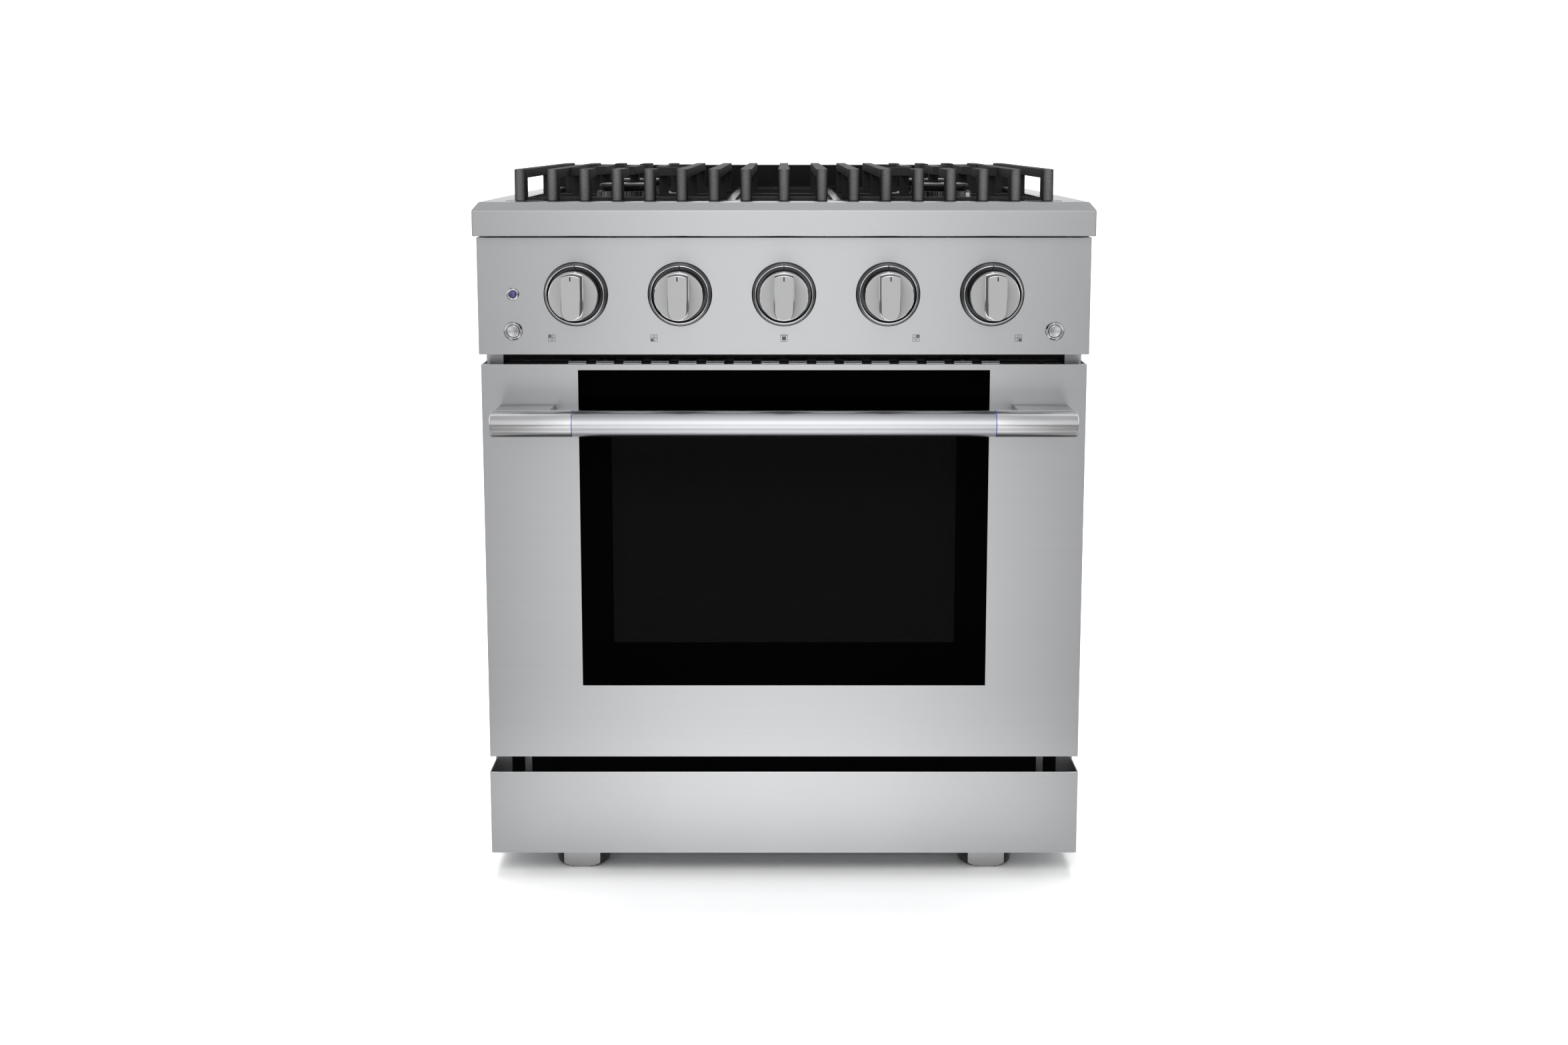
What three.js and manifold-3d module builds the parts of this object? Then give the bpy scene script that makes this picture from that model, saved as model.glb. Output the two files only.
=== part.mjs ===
// A freestanding 30-inch professional gas range: four sealed burners under three cast-iron grates, five
// knobs, a drop-down oven door with a bar handle, a kick panel and four levelling legs.
// Millimetres, +Z up, -Y towards the cook. The parts are laid out from the plane of the door's face (y = 0)
// and the floor (z = 0), and the finished group is then moved so that its origin is the bottom centre.
import * as THREE from 'three';
import { mergeVertices } from 'three/addons/utils/BufferGeometryUtils.js';
import Module from 'manifold-3d';

const wasm = await Module();
wasm.setup();

// ---------------------------------------------------------------- driving dimensions
const HALF_WIDTH = 380; // of the cooktop, the widest piece
const BODY_HALF = 379.5; // side panels, control panel and kick panel
const DEPTH = 701; // from the door's face to the back of the body
const GAP = 0.3; // between pieces that rest on or in each other
const SHEET = 1.5; // folded steel sheet

const LEG = { x: 266, frontY: 58, rearY: 640, radius: 35, flat: 26, height: 44, foot: 36 };
const KICK = { bottom: 32.4, top: 142.1, depth: 49.7 };
const DOOR = { half: 378.5, bottom: 162.8, top: 672.1, sideDepth: 40, back: 45 };
const GLASS = { half: 257.6, bottom: 257.3, top: 664.9, thick: 4 };
const WINDOW = { half: 217, bottom: 314, top: 600 };
const PIVOT = { x: 336, y: 30, z: 177, pin: 4 }; // the door's hinge line, and its hinges' places along it
const HINGE = { half: 4, ahead: 6, rise: 7, drop: 85, pinHalf: 15 }; // its arm, plate and pin
const INNER_PAN = { half: 352, bottom: 166.2, top: 669.1 };
const VENTS = { count: 16, pitch: 35, half: 11.5, front: 18, back: 40 };
const FRAME_Y = 50; // front of the oven's front frame
const STILE = 21.5; // front fold of each side panel
const REAR_FOLD = 16; // rear fold of each side panel
const PANEL = { face: -8, bottom: 685.5, top: 831 };
const COOKTOP = { front: -36, bottom: 833.6, top: 875, bevel: 10 };
const TRIM = { half: 372.5, front: 657, top: 909 };

const KNOB = { pitch: 128.8, z: 760.7, radius: 30.2, face: 33, grip: 60, gripWidth: 23.5, gripReach: 27.4 };
const BEZEL = { outer: 40, front: 36.2, bore: 34.2, depth: 13 };
const BUTTON = { x: 336, z: 714.8, radius: 8, ring: 11.9 };
const LAMP = { x: -335.7, z: KNOB.z, ring: 8, lens: 4.6 };
const HANDLE = { z: 609.3, radius: 16, y: -76, barHalf: 256.2, endHalf: 356 };
const POST = { inner: 287, half: 12.3 }; // the flat part of each handle end, back to the door

const GRATE = { front: 4, back: 545, top: 914, barHeight: 11, width: 14, rearWidth: 12.8, stepY: 189 };
const SIDE_BARS = { inner: 86.4, pitch: 40, count: 7 };
const CENTRE_BARS = { pitch: 47 };
const PAN = { half: 343.5, front: 1.8, ledge: 34, floor: 869.4, rim: 875.4 };
const BURNER = { x: 206.4, frontY: 150, rearY: 406 };

const CAVITY = { half: 290, front: 54, back: 522, bottom: 205, top: 620 };
const RACK = { z: [419, 511], half: 282, front: 76, back: 486, wire: 2.2, rail: 3 };
const FAN = { z: 415, y: 506, radius: 72, hub: 12, shaft: 3.5, blades: 8 };
const FAN_COVER = { depth: 32, face: 92, rim: 112, slots: 10 };
const BAKE = { half: 140, front: 120, z: 213, radius: 6, bend: 40 };
const BROIL = { half: 190, front: 150, back: 400, bottom: 594, wall: 12, recess: 6 };
const OVEN_LAMP = { x: -215, z: 560, radius: 24, reach: 14 };
const INLET = { radius: 13, bore: 7 }; // the gas connection, at the pipe's rear end
const PIPE = { y: 32, z: KNOB.z, radius: 8, x: 334 };

// ---------------------------------------------------------------- solids
const WORLD = { x: new THREE.Vector3(1, 0, 0), y: new THREE.Vector3(0, 1, 0), z: new THREE.Vector3(0, 0, 1) };

// The closed geometry as a solid for cutting and joining.
function solid(geometry) {
  const bare = geometry.index ? geometry.toNonIndexed() : geometry.clone();
  bare.deleteAttribute('normal');
  bare.deleteAttribute('uv');
  const merged = mergeVertices(bare, 1e-4);
  return new wasm.Manifold(new wasm.Mesh({
    numProp: 3,
    vertProperties: new Float32Array(merged.attributes.position.array),
    triVerts: new Uint32Array(merged.index.array),
  }));
}

function geometryOf(made) {
  const mesh = made.getMesh();
  const points = new Float32Array(mesh.numVert * 3);
  for (let i = 0; i < mesh.numVert; i += 1) {
    points.set(mesh.vertProperties.subarray(i * mesh.numProp, i * mesh.numProp + 3), i * 3);
  }
  const geometry = new THREE.BufferGeometry();
  geometry.setAttribute('position', new THREE.BufferAttribute(points, 3));
  geometry.setIndex(new THREE.BufferAttribute(new Uint32Array(mesh.triVerts), 1));
  geometry.computeVertexNormals();
  return geometry;
}

const join = (first, ...rest) => rest.reduce((sum, next) => sum.add(next), first);
const cut = (first, ...rest) => rest.reduce((left, next) => left.subtract(next), first);

// A box between two corners.
function box(x0, x1, y0, y1, z0, z1) {
  const geometry = new THREE.BoxGeometry(x1 - x0, y1 - y0, z1 - z0);
  return solid(geometry.translate((x0 + x1) / 2, (y0 + y1) / 2, (z0 + z1) / 2));
}

// A closed outline of [radius, along] points, turned about an axis through (x, y, z). Along runs with the
// axis: 'y' means towards +Y.
function turned(outline, axis, x, y, z, sides = 20) {
  const points = outline.map(([radius, along]) => new THREE.Vector2(radius, along));
  const geometry = new THREE.LatheGeometry(points, sides);
  if (axis === 'z') geometry.rotateX(Math.PI / 2);
  if (axis === 'x') geometry.rotateZ(-Math.PI / 2);
  const made = solid(geometry.translate(x, y, z));
  return made.volume() > 0 ? made : solid(flipped(geometry));
}

// The same triangles, each wound the other way.
function flipped(geometry) {
  const turnedRound = geometry.index ? geometry.toNonIndexed() : geometry.clone();
  const array = turnedRound.attributes.position.array;
  for (let i = 0; i < array.length; i += 9) {
    for (let k = 0; k < 3; k += 1) {
      [array[i + 3 + k], array[i + 6 + k]] = [array[i + 6 + k], array[i + 3 + k]];
    }
  }
  return turnedRound;
}

function rod(axis, radius, from, to, x, y, z, sides = 16) {
  return turned([[0, from], [radius, from], [radius, to], [0, to]], axis, x, y, z, sides);
}

// A shape drawn in two of the part's axes and pushed along the third: plane 'yz' is pushed along x,
// 'xz' along y and 'xy' along z, from one value to another.
function pushed(shape, plane, from, to, curveSegments = 8) {
  const geometry = new THREE.ExtrudeGeometry(shape, {
    depth: to - from, bevelEnabled: false, curveSegments,
  });
  const basis = {
    yz: [WORLD.y, WORLD.z, WORLD.x],
    xy: [WORLD.x, WORLD.y, WORLD.z],
    xz: [WORLD.x, WORLD.z, WORLD.y],
  }[plane];
  geometry.applyMatrix4(new THREE.Matrix4().makeBasis(...basis));
  const start = basis[2].clone().multiplyScalar(from);
  geometry.translate(start.x, start.y, start.z);
  return solid(plane === 'xz' ? flipped(geometry) : geometry);
}

function outline(points) {
  return new THREE.Shape(points.map(([a, b]) => new THREE.Vector2(a, b)));
}

function roundedRectangle(half, bottom, top, corner) {
  const shape = new THREE.Shape();
  shape.absarc(half - corner, bottom + corner, corner, -Math.PI / 2, 0);
  shape.absarc(half - corner, top - corner, corner, 0, Math.PI / 2);
  shape.absarc(corner - half, top - corner, corner, Math.PI / 2, Math.PI);
  shape.absarc(corner - half, bottom + corner, corner, Math.PI, Math.PI * 1.5);
  shape.closePath();
  return shape;
}

// A round tube or rod that follows points, straight between them, with rounded corners.
function bent(points, radius, bend, sides = 8) {
  const path = new THREE.CurvePath();
  let start = points[0];
  for (let i = 1; i < points.length - 1; i += 1) {
    const before = points[i].clone().add(start.clone().sub(points[i]).setLength(bend));
    const after = points[i].clone().add(points[i + 1].clone().sub(points[i]).setLength(bend));
    path.add(new THREE.LineCurve3(start, before));
    path.add(new THREE.QuadraticBezierCurve3(before, points[i], after));
    start = after;
  }
  path.add(new THREE.LineCurve3(start, points[points.length - 1]));
  const section = new THREE.Shape();
  for (let i = 0; i < sides; i += 1) {
    const angle = (i * 2 * Math.PI) / sides;
    const place = [radius * Math.cos(angle), radius * Math.sin(angle)];
    if (i === 0) section.moveTo(...place);
    else section.lineTo(...place);
  }
  const steps = 8 * (points.length - 1);
  return solid(new THREE.ExtrudeGeometry(section, { extrudePath: path, steps, bevelEnabled: false }));
}

// ---------------------------------------------------------------- materials
function material(color, roughness, metalness) {
  return new THREE.MeshStandardMaterial({ color, roughness, metalness });
}
const STEEL = material(0xc3c4c6, 0.34, 1);
const CHROME = material(0xd9dadc, 0.12, 1);
const SATIN = material(0xcfd0d6, 0.38, 1);
const ZINC = material(0x9fa3a6, 0.5, 1);
const IRON = material(0x242424, 0.62, 0.2);
const ENAMEL = material(0x0b0b0c, 0.2, 0);
const GLASSY = material(0x050506, 0.05, 0);
const ALUMINIUM = material(0xb5b5b2, 0.4, 1);
const GASKET = material(0x3a3a38, 0.9, 0);
const LENS = material(0x6d6da0, 0.15, 0);

const range = new THREE.Group();
const assembly = new THREE.Group();
range.add(assembly);

function place(name, made, look) {
  const mesh = new THREE.Mesh(geometryOf(made), look);
  mesh.name = name;
  assembly.add(mesh);
  return mesh;
}

const SIDES = [['left', -1], ['right', 1]];
// A box given for the right-hand side, on either side.
const sideBox = (side, x0, x1, ...rest) => (side > 0 ? box(x0, x1, ...rest) : box(-x1, -x0, ...rest));

// ---------------------------------------------------------------- legs, kick panel and body
// A levelling leg: a round foot with a chamfered base and two spanner flats, under a stub in the base.
function leg(x, y) {
  const { radius, flat, height, foot } = LEG;
  const out = radius + 1;
  const made = turned([
    [0, 0], [radius - 8, 0], [radius - 1.5, 4], [radius, 6], [radius, foot],
    [12, foot], [12, height], [0, height],
  ], 'z', x, y, 0, 24);
  return cut(
    made,
    box(x - out, x + out, y - out, y - flat, -1, foot + 1),
    box(x - out, x + out, y + flat, y + out, -1, foot + 1),
  );
}
for (const [end, y] of [['front', LEG.frontY], ['rear', LEG.rearY]]) {
  for (const [side, sign] of SIDES) place(`leg_${end}_${side}`, leg(sign * LEG.x, y), CHROME);
}

const CHASSIS_Z = LEG.height + GAP;
const chassis = cut(
  box(-BODY_HALF + 3, BODY_HALF - 3, FRAME_Y + 4, DEPTH - 4, CHASSIS_Z, CHASSIS_Z + 40),
  box(-BODY_HALF + 4.5, BODY_HALF - 4.5, FRAME_Y + 5.5, DEPTH - 5.5, CHASSIS_Z + SHEET, CHASSIS_Z + 41),
);
place('base_chassis', chassis, ZINC);

const kick = cut(
  box(-BODY_HALF, BODY_HALF, 0, KICK.depth, KICK.bottom, KICK.top),
  box(-BODY_HALF + SHEET, BODY_HALF - SHEET, SHEET, KICK.depth + 1, KICK.bottom - 1, KICK.top + 1),
);
place('kick_panel', kick, STEEL);

// Each side panel is one sheet folded in at the front, to make the stile beside the door, and at the back.
function sidePanel(sign) {
  const half = BODY_HALF;
  const at = (x, y) => [sign * x, y];
  const points = [
    at(half, FRAME_Y), at(half, DEPTH), at(half - REAR_FOLD, DEPTH), at(half - REAR_FOLD, DEPTH - SHEET),
    at(half - SHEET, DEPTH - SHEET), at(half - SHEET, FRAME_Y + SHEET), at(half - STILE, FRAME_Y + SHEET),
    at(half - STILE, FRAME_Y),
  ];
  const folded = pushed(outline(sign > 0 ? points : points.reverse()), 'xy', KICK.bottom, PANEL.top + 2);
  const behindPanel = sideBox(
    sign, half - STILE - 1, half + 1, FRAME_Y - 1, FRAME_Y + 4, PANEL.bottom - 2, PANEL.top + 3,
  );
  return cut(folded, behindPanel);
}
for (const [side, sign] of SIDES) place(`side_panel_${side}`, sidePanel(sign), STEEL);

// The back panel, with rows of cooling slots, the gas pipe's hole and two stiffening ribs.
function backPanel() {
  const half = BODY_HALF - REAR_FOLD - GAP;
  const y0 = DEPTH - SHEET;
  let made = box(-half, half, y0, DEPTH, CHASSIS_Z + 1, PANEL.top + 1);
  for (const z of [150, 640]) {
    made = join(made, box(-half + 20, half - 20, y0 - 5, y0 + 0.5, z, z + 10));
  }
  for (let row = 0; row < 2; row += 1) {
    for (let i = -2; i <= 2; i += 1) {
      const z = 690 + row * 22;
      made = cut(made, box(i * 100 - 36, i * 100 + 36, y0 - 1, DEPTH + 1, z, z + 7));
    }
  }
  return cut(made, rod('y', INLET.radius + 3, y0 - 2, DEPTH + 2, PIPE.x, 0, PIPE.z, 16));
}
place('back_panel', backPanel(), ZINC);

// The black frame round the oven's mouth, which also closes the space above and below it.
function frontFrame() {
  const half = BODY_HALF - STILE - GAP;
  const y1 = FRAME_Y + 3;
  const plate = box(-half, half, FRAME_Y, y1, CHASSIS_Z + 1, PANEL.top + 1);
  const made = cut(plate, box(-CAVITY.half, CAVITY.half, FRAME_Y - 1, y1 + 1, CAVITY.bottom, CAVITY.top));
  return cut(made, rod('y', PIPE.radius + 4, FRAME_Y - 1, y1 + 1, PIPE.x, 0, PIPE.z, 12));
}
place('front_frame', frontFrame(), ENAMEL);

// ---------------------------------------------------------------- oven
function ovenLiner() {
  const { half, front, back, bottom, top } = CAVITY;
  let made = cut(
    box(-half - SHEET, half + SHEET, front, back + SHEET, bottom - SHEET, top + SHEET),
    box(-half, half, front - 1, back, bottom, top),
  );
  // Seven pressed ledges on each side wall, which the racks slide on.
  for (let level = 0; level < 7; level += 1) {
    const z = RACK.z[0] - RACK.rail - GAP - 138 + level * 46;
    for (const [, sign] of SIDES) {
      made = join(made, sideBox(sign, half - 10, half + 0.5, front + 14, back - 30, z - 4, z));
    }
  }
  return cut(made, rod('y', 5, back - 2, back + SHEET + 2, 0, 0, FAN.z, 12));
}
place('oven_liner', ovenLiner(), ENAMEL);

const FLOOR_Z = CAVITY.bottom + 21;
function ovenFloor() {
  const half = CAVITY.half - 4;
  const front = CAVITY.front + 12;
  const back = CAVITY.back - 2;
  let made = box(-half, half, front, back, FLOOR_Z, FLOOR_Z + 2);
  for (const [, sign] of SIDES) {
    made = join(made, sideBox(sign, half - 2, half, front, back, CAVITY.bottom + GAP, FLOOR_Z + 1));
    for (let i = 0; i < 6; i += 1) {
      const y = front + 48 + i * 62;
      made = cut(made, sideBox(sign, half - 24, half - 16, y, y + 34, FLOOR_Z - 1, FLOOR_Z + 3));
    }
  }
  return made;
}
place('oven_floor', ovenFloor(), ENAMEL);

const V = (x, y, z) => new THREE.Vector3(x, y, z);
place('bake_burner', bent([
  V(-BAKE.half, CAVITY.back - 8, BAKE.z), V(-BAKE.half, BAKE.front, BAKE.z),
  V(BAKE.half, BAKE.front, BAKE.z), V(BAKE.half, CAVITY.back - 60, BAKE.z),
], BAKE.radius, BAKE.bend, 6), ALUMINIUM);

// The broiler: a shallow hood with a recessed radiant face, under the cavity's ceiling.
function broilBurner() {
  const { half, front, back, bottom, wall, recess } = BROIL;
  return cut(
    box(-half, half, front, back, bottom, CAVITY.top - GAP),
    box(wall - half, half - wall, front + wall, back - wall, bottom - 1, bottom + recess),
  );
}
place('broil_burner', broilBurner(), ALUMINIUM);

// The fan's cover: a shallow dish on the back wall with slots round it.
function fanCover() {
  const { depth, face, rim, slots } = FAN_COVER;
  const front = CAVITY.back - depth;
  const back = CAVITY.back - GAP;
  let made = turned([
    [0, front], [face, front], [rim, front + 14], [rim, back], [rim - 2, back],
    [rim - 2, front + 15], [face - 1, front + 2], [0, front + 2],
  ], 'y', 0, 0, FAN.z, 24);
  for (let i = 0; i < slots; i += 1) {
    const turn = (i * 2 * Math.PI) / slots;
    const slot = new THREE.BoxGeometry(46, 8, 7).translate(56, front + 1, 0).rotateY(turn);
    made = cut(made, solid(slot.translate(0, 0, FAN.z)));
  }
  return made;
}
place('fan_cover', fanCover(), ENAMEL);

// The convection fan: a back plate, a hub with its shaft through the back wall, and eight blades.
function convectionFan() {
  const { radius, hub, shaft, blades, y, z } = FAN;
  let made = join(
    rod('y', radius, y + 3, y + 5, 0, 0, z, 24),
    rod('y', hub, y - 8, y + 4, 0, 0, z, 16),
    rod('y', shaft, y, CAVITY.back + 40, 0, 0, z, 12),
  );
  for (let i = 0; i < blades; i += 1) {
    const turn = (i * 2 * Math.PI) / blades;
    const blade = new THREE.BoxGeometry(34, 12, 1.6).translate(48, y - 2, 4).rotateY(turn);
    made = join(made, solid(blade.translate(0, 0, z)));
  }
  return made;
}
place('convection_fan', convectionFan(), ALUMINIUM);

place('oven_lamp', turned([
  [0, -OVEN_LAMP.reach], [9, 1 - OVEN_LAMP.reach], [16, -10], [20, -4], [OVEN_LAMP.radius, -3],
  [OVEN_LAMP.radius, -GAP], [0, -GAP],
], 'y', OVEN_LAMP.x, CAVITY.back, OVEN_LAMP.z, 24), LENS);

// An oven rack: two side rails, front and back rails, a middle rail and thirteen wires from front to back.
function rack(z) {
  const { half, front, back, wire, rail } = RACK;
  const thick = rail * 2;
  const made = [];
  for (const x of [-half, half - thick]) made.push(box(x, x + thick, front, back, z - rail, z + rail));
  for (const y of [front, (front + back) / 2 - rail, back - thick]) {
    made.push(box(rail - half, half - rail, y, y + thick, z - rail + 0.5, z + rail - 0.5));
  }
  for (let i = -6; i <= 6; i += 1) {
    made.push(box(i * 42 - wire, i * 42 + wire, front + 1, back - 1, z + 1, z + 1 + wire * 2));
  }
  return join(...made);
}
place('rack_lower', rack(RACK.z[0]), CHROME);
place('rack_upper', rack(RACK.z[1]), CHROME);

// The woven seal round the oven's mouth, on the front frame.
function doorGasket() {
  const ring = roundedRectangle(CAVITY.half + 24, CAVITY.bottom - 15, CAVITY.top + 18, 24);
  ring.holes.push(roundedRectangle(CAVITY.half + 14, CAVITY.bottom - 5, CAVITY.top + 8, 14));
  return pushed(ring, 'xz', DOOR.back + GAP, FRAME_Y - GAP, 3);
}
place('door_gasket', doorGasket(), GASKET);

// ---------------------------------------------------------------- door
// Each hinge: a plate on the front frame, with an arm that holds the pin that the door turns on.
function doorHinge(sign) {
  const x = sign * PIVOT.x;
  const { y, z, pin } = PIVOT;
  const { half, ahead, rise, drop, pinHalf } = HINGE;
  const back = FRAME_Y - GAP;
  const arm = box(x - half, x + half, y - ahead, back, z - rise, z + rise);
  const plate = box(x - half - 0.5, x + half + 0.5, FRAME_Y - 4, back, z - drop, z + rise);
  return join(arm, plate, rod('x', pin, x - pinHalf, x + pinHalf, 0, y, z, 16));
}
for (const [side, sign] of SIDES) place(`door_hinge_${side}`, doorHinge(sign), ZINC);

function doorSkin() {
  const { half, bottom, top, sideDepth } = DOOR;
  const folded = cut(
    box(-half, half, 0, sideDepth, bottom, top),
    box(-half + SHEET, half - SHEET, SHEET, sideDepth + 1, bottom - 1, top + 1),
  );
  const hems = join(
    box(-half + 0.5, half - 0.5, 0.5, 5, top - SHEET, top),
    box(-half + 0.5, half - 0.5, 0.5, 5, bottom, bottom + SHEET),
  );
  return cut(join(folded, hems), box(-GLASS.half, GLASS.half, -1, SHEET + 6, GLASS.bottom, GLASS.top));
}
place('door_skin', doorSkin(), STEEL);

place('door_glass_outer', box(
  -GLASS.half + GAP, GLASS.half - GAP, GAP, GAP + GLASS.thick, GLASS.bottom + GAP, GLASS.top - GAP,
), GLASSY);

// The door's inner pan: open to the front, with a tunnel round the window, a row of vents along its top
// edge and a notch at each bottom corner for the hinge.
function doorInnerPan() {
  const { half, bottom, top } = INNER_PAN;
  const front = GAP * 2 + 5;
  const shell = cut(
    box(-half, half, front, DOOR.back, bottom, top),
    box(-half + SHEET, half - SHEET, front - 1, DOOR.back - SHEET, bottom + SHEET, top - SHEET),
  );
  const tunnel = box(
    -WINDOW.half - 3, WINDOW.half + 3, front, DOOR.back - 0.5, WINDOW.bottom - 3, WINDOW.top + 3,
  );
  let made = cut(
    join(shell, tunnel),
    box(-WINDOW.half, WINDOW.half, 0, DOOR.back + 1, WINDOW.bottom, WINDOW.top),
  );
  for (let i = 0; i < VENTS.count; i += 1) {
    const x = (i - (VENTS.count - 1) / 2) * VENTS.pitch;
    made = cut(made, box(x - VENTS.half, x + VENTS.half, VENTS.front, VENTS.back, top - 3, top + 1));
  }
  for (const [, sign] of SIDES) {
    const inner = PIVOT.x - 12;
    const outer = PIVOT.x + 12;
    const { y, z } = PIVOT;
    const housing = sideBox(sign, inner - 2.5, outer + 2.5, y - 12, DOOR.back - 1, bottom, z + 16);
    const pocket = sideBox(sign, inner, outer, y - 10, DOOR.back + 1, bottom - 1, z + 12);
    made = cut(
      join(made, housing), pocket,
      rod('x', PIVOT.pin + 0.4, -16, 16, sign * PIVOT.x, y, z, 16),
    );
  }
  return made;
}
place('door_inner_pan', doorInnerPan(), ENAMEL);

place('door_glass_inner', box(
  -WINDOW.half + GAP, WINDOW.half - GAP, DOOR.back - 9, DOOR.back - 5, WINDOW.bottom + GAP, WINDOW.top - GAP,
), GLASSY);

function handleBar() {
  const { radius, barHalf, y, z } = HANDLE;
  const wall = 3;
  return turned([
    [radius - wall, -barHalf], [radius, -barHalf], [radius, barHalf], [radius - wall, barHalf],
    [radius - wall, -barHalf],
  ], 'x', 0, y, z, 28);
}
place('handle_bar', handleBar(), SATIN);

// Each handle end: a round cap that carries the bar, and a flat post back to the door.
function handleEnd(sign) {
  const { z, y, radius, barHalf, endHalf } = HANDLE;
  const outer = radius + 0.3;
  const cap = turned([
    [0, barHalf + GAP], [outer, barHalf + GAP], [outer, endHalf - 3], [outer - 3, endHalf], [0, endHalf],
  ], 'x', 0, y, z, 28);
  const post = box(POST.inner, endHalf - 1, y, -GAP, z - POST.half, z + POST.half);
  const made = join(cap, post);
  return sign > 0 ? made : made.mirror([1, 0, 0]);
}
for (const [side, sign] of SIDES) place(`handle_end_${side}`, handleEnd(sign), CHROME);

// ---------------------------------------------------------------- control panel
const knobX = [-2, -1, 0, 1, 2].map((i) => i * KNOB.pitch);

function controlPanel() {
  const { face, bottom, top } = PANEL;
  let made = cut(
    box(-BODY_HALF, BODY_HALF, face, FRAME_Y - GAP, bottom, top),
    box(-BODY_HALF + SHEET, BODY_HALF - SHEET, face + SHEET, FRAME_Y + 1, bottom + SHEET, top + 1),
    box(-BODY_HALF + STILE, BODY_HALF - STILE, face + 30, FRAME_Y + 1, bottom - 1, top + 1),
  );
  const y0 = face - 1;
  const y1 = face + SHEET + 1;
  for (const x of knobX) made = cut(made, rod('y', 6, y0, y1, x, 0, KNOB.z, 10));
  for (const [, sign] of SIDES) {
    made = cut(made, rod('y', BUTTON.radius + 0.6, y0, y1, sign * BUTTON.x, 0, BUTTON.z, 20));
  }
  return cut(made, rod('y', 3, y0, y1, LAMP.x, 0, LAMP.z, 12));
}
place('control_panel', controlPanel(), STEEL);

function knobBezel(x) {
  const back = PANEL.face - GAP;
  const front = PANEL.face - BEZEL.depth;
  return turned([
    [8, back], [BEZEL.outer, back], [BEZEL.outer, back - 1.5], [BEZEL.front, front], [BEZEL.bore, front],
    [BEZEL.bore, back - 2], [8, back - 2], [8, back],
  ], 'y', x, 0, KNOB.z, 20);
}

// A knob: a round body with its stem, and a grip whose top follows the body and whose foot is a rounded U.
function knob(x) {
  const back = PANEL.face - 3;
  const front = PANEL.face - KNOB.face;
  const body = turned([
    [0, back], [KNOB.radius, back], [KNOB.radius, front + 1], [KNOB.radius - 1, front], [0, front],
  ], 'y', 0, 0, 0, 24);
  const stem = rod('y', 3.5, back - 0.5, PANEL.face + 10, 0, 0, 0, 12);
  const half = KNOB.gripWidth / 2;
  const reach = KNOB.gripReach;
  const rise = Math.sqrt(reach * reach - half * half);
  const grip = new THREE.Shape();
  grip.moveTo(-half, rise);
  grip.lineTo(-half, -rise * 0.55);
  grip.quadraticCurveTo(-half, -reach, 0, -reach);
  grip.quadraticCurveTo(half, -reach, half, -rise * 0.55);
  grip.lineTo(half, rise);
  grip.absarc(0, 0, reach, Math.atan2(rise, half), Math.atan2(rise, -half));
  const made = join(body, stem, pushed(grip, 'xz', PANEL.face - KNOB.grip, front + 0.5, 6));
  return made.translate([x, 0, KNOB.z]);
}
knobX.forEach((x, i) => {
  place(`knob_bezel_${i + 1}`, knobBezel(x), CHROME);
  place(`knob_${i + 1}`, knob(x), SATIN);
});

function buttonRing(x) {
  const back = PANEL.face - GAP;
  const bore = BUTTON.radius + 0.6;
  return turned([
    [bore, back], [BUTTON.ring, back], [BUTTON.ring, back - 1], [bore + 1, back - 4], [bore, back - 4],
    [bore, back],
  ], 'y', x, 0, BUTTON.z, 20);
}
const button = (x) => turned([
  [0, PANEL.face + 8], [BUTTON.radius, PANEL.face + 8], [BUTTON.radius, PANEL.face - 5],
  [BUTTON.radius - 0.7, PANEL.face - 5.6], [0, PANEL.face - 5.6],
], 'y', x, 0, BUTTON.z, 20);
place('light_button_ring', buttonRing(-BUTTON.x), CHROME);
place('fan_button_ring', buttonRing(BUTTON.x), CHROME);
place('light_button', button(-BUTTON.x), CHROME);
place('fan_button', button(BUTTON.x), CHROME);

place('indicator_lamp', turned([
  [0, PANEL.face + 8], [2.6, PANEL.face + 8], [2.6, PANEL.face - GAP], [LAMP.ring, PANEL.face - GAP],
  [LAMP.ring, PANEL.face - 1.4], [LAMP.lens + 1, PANEL.face - 3], [LAMP.lens, PANEL.face - 2],
  [2.4, PANEL.face - 3.2], [0, PANEL.face - 3.6],
], 'y', LAMP.x, 0, LAMP.z, 20), LENS);

// The gas line: from the inlet in the back panel along the right side, then across behind the control
// panel with one valve behind each knob.
function gasManifold() {
  const { x, y, z, radius } = PIPE;
  let made = bent([V(-330, y, z), V(x, y, z), V(x, DEPTH - 20, z)], radius, 12, 8);
  for (const at of knobX) made = join(made, box(at - 13, at + 13, 6, y, z - 14, z + 14));
  made = join(made, rod('y', INLET.radius, DEPTH - 26, DEPTH - 2, x, 0, z, 6));
  return cut(made, rod('y', INLET.bore, DEPTH - 22, DEPTH, x, 0, z, 12));
}
place('gas_manifold', gasManifold(), ZINC);

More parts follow.
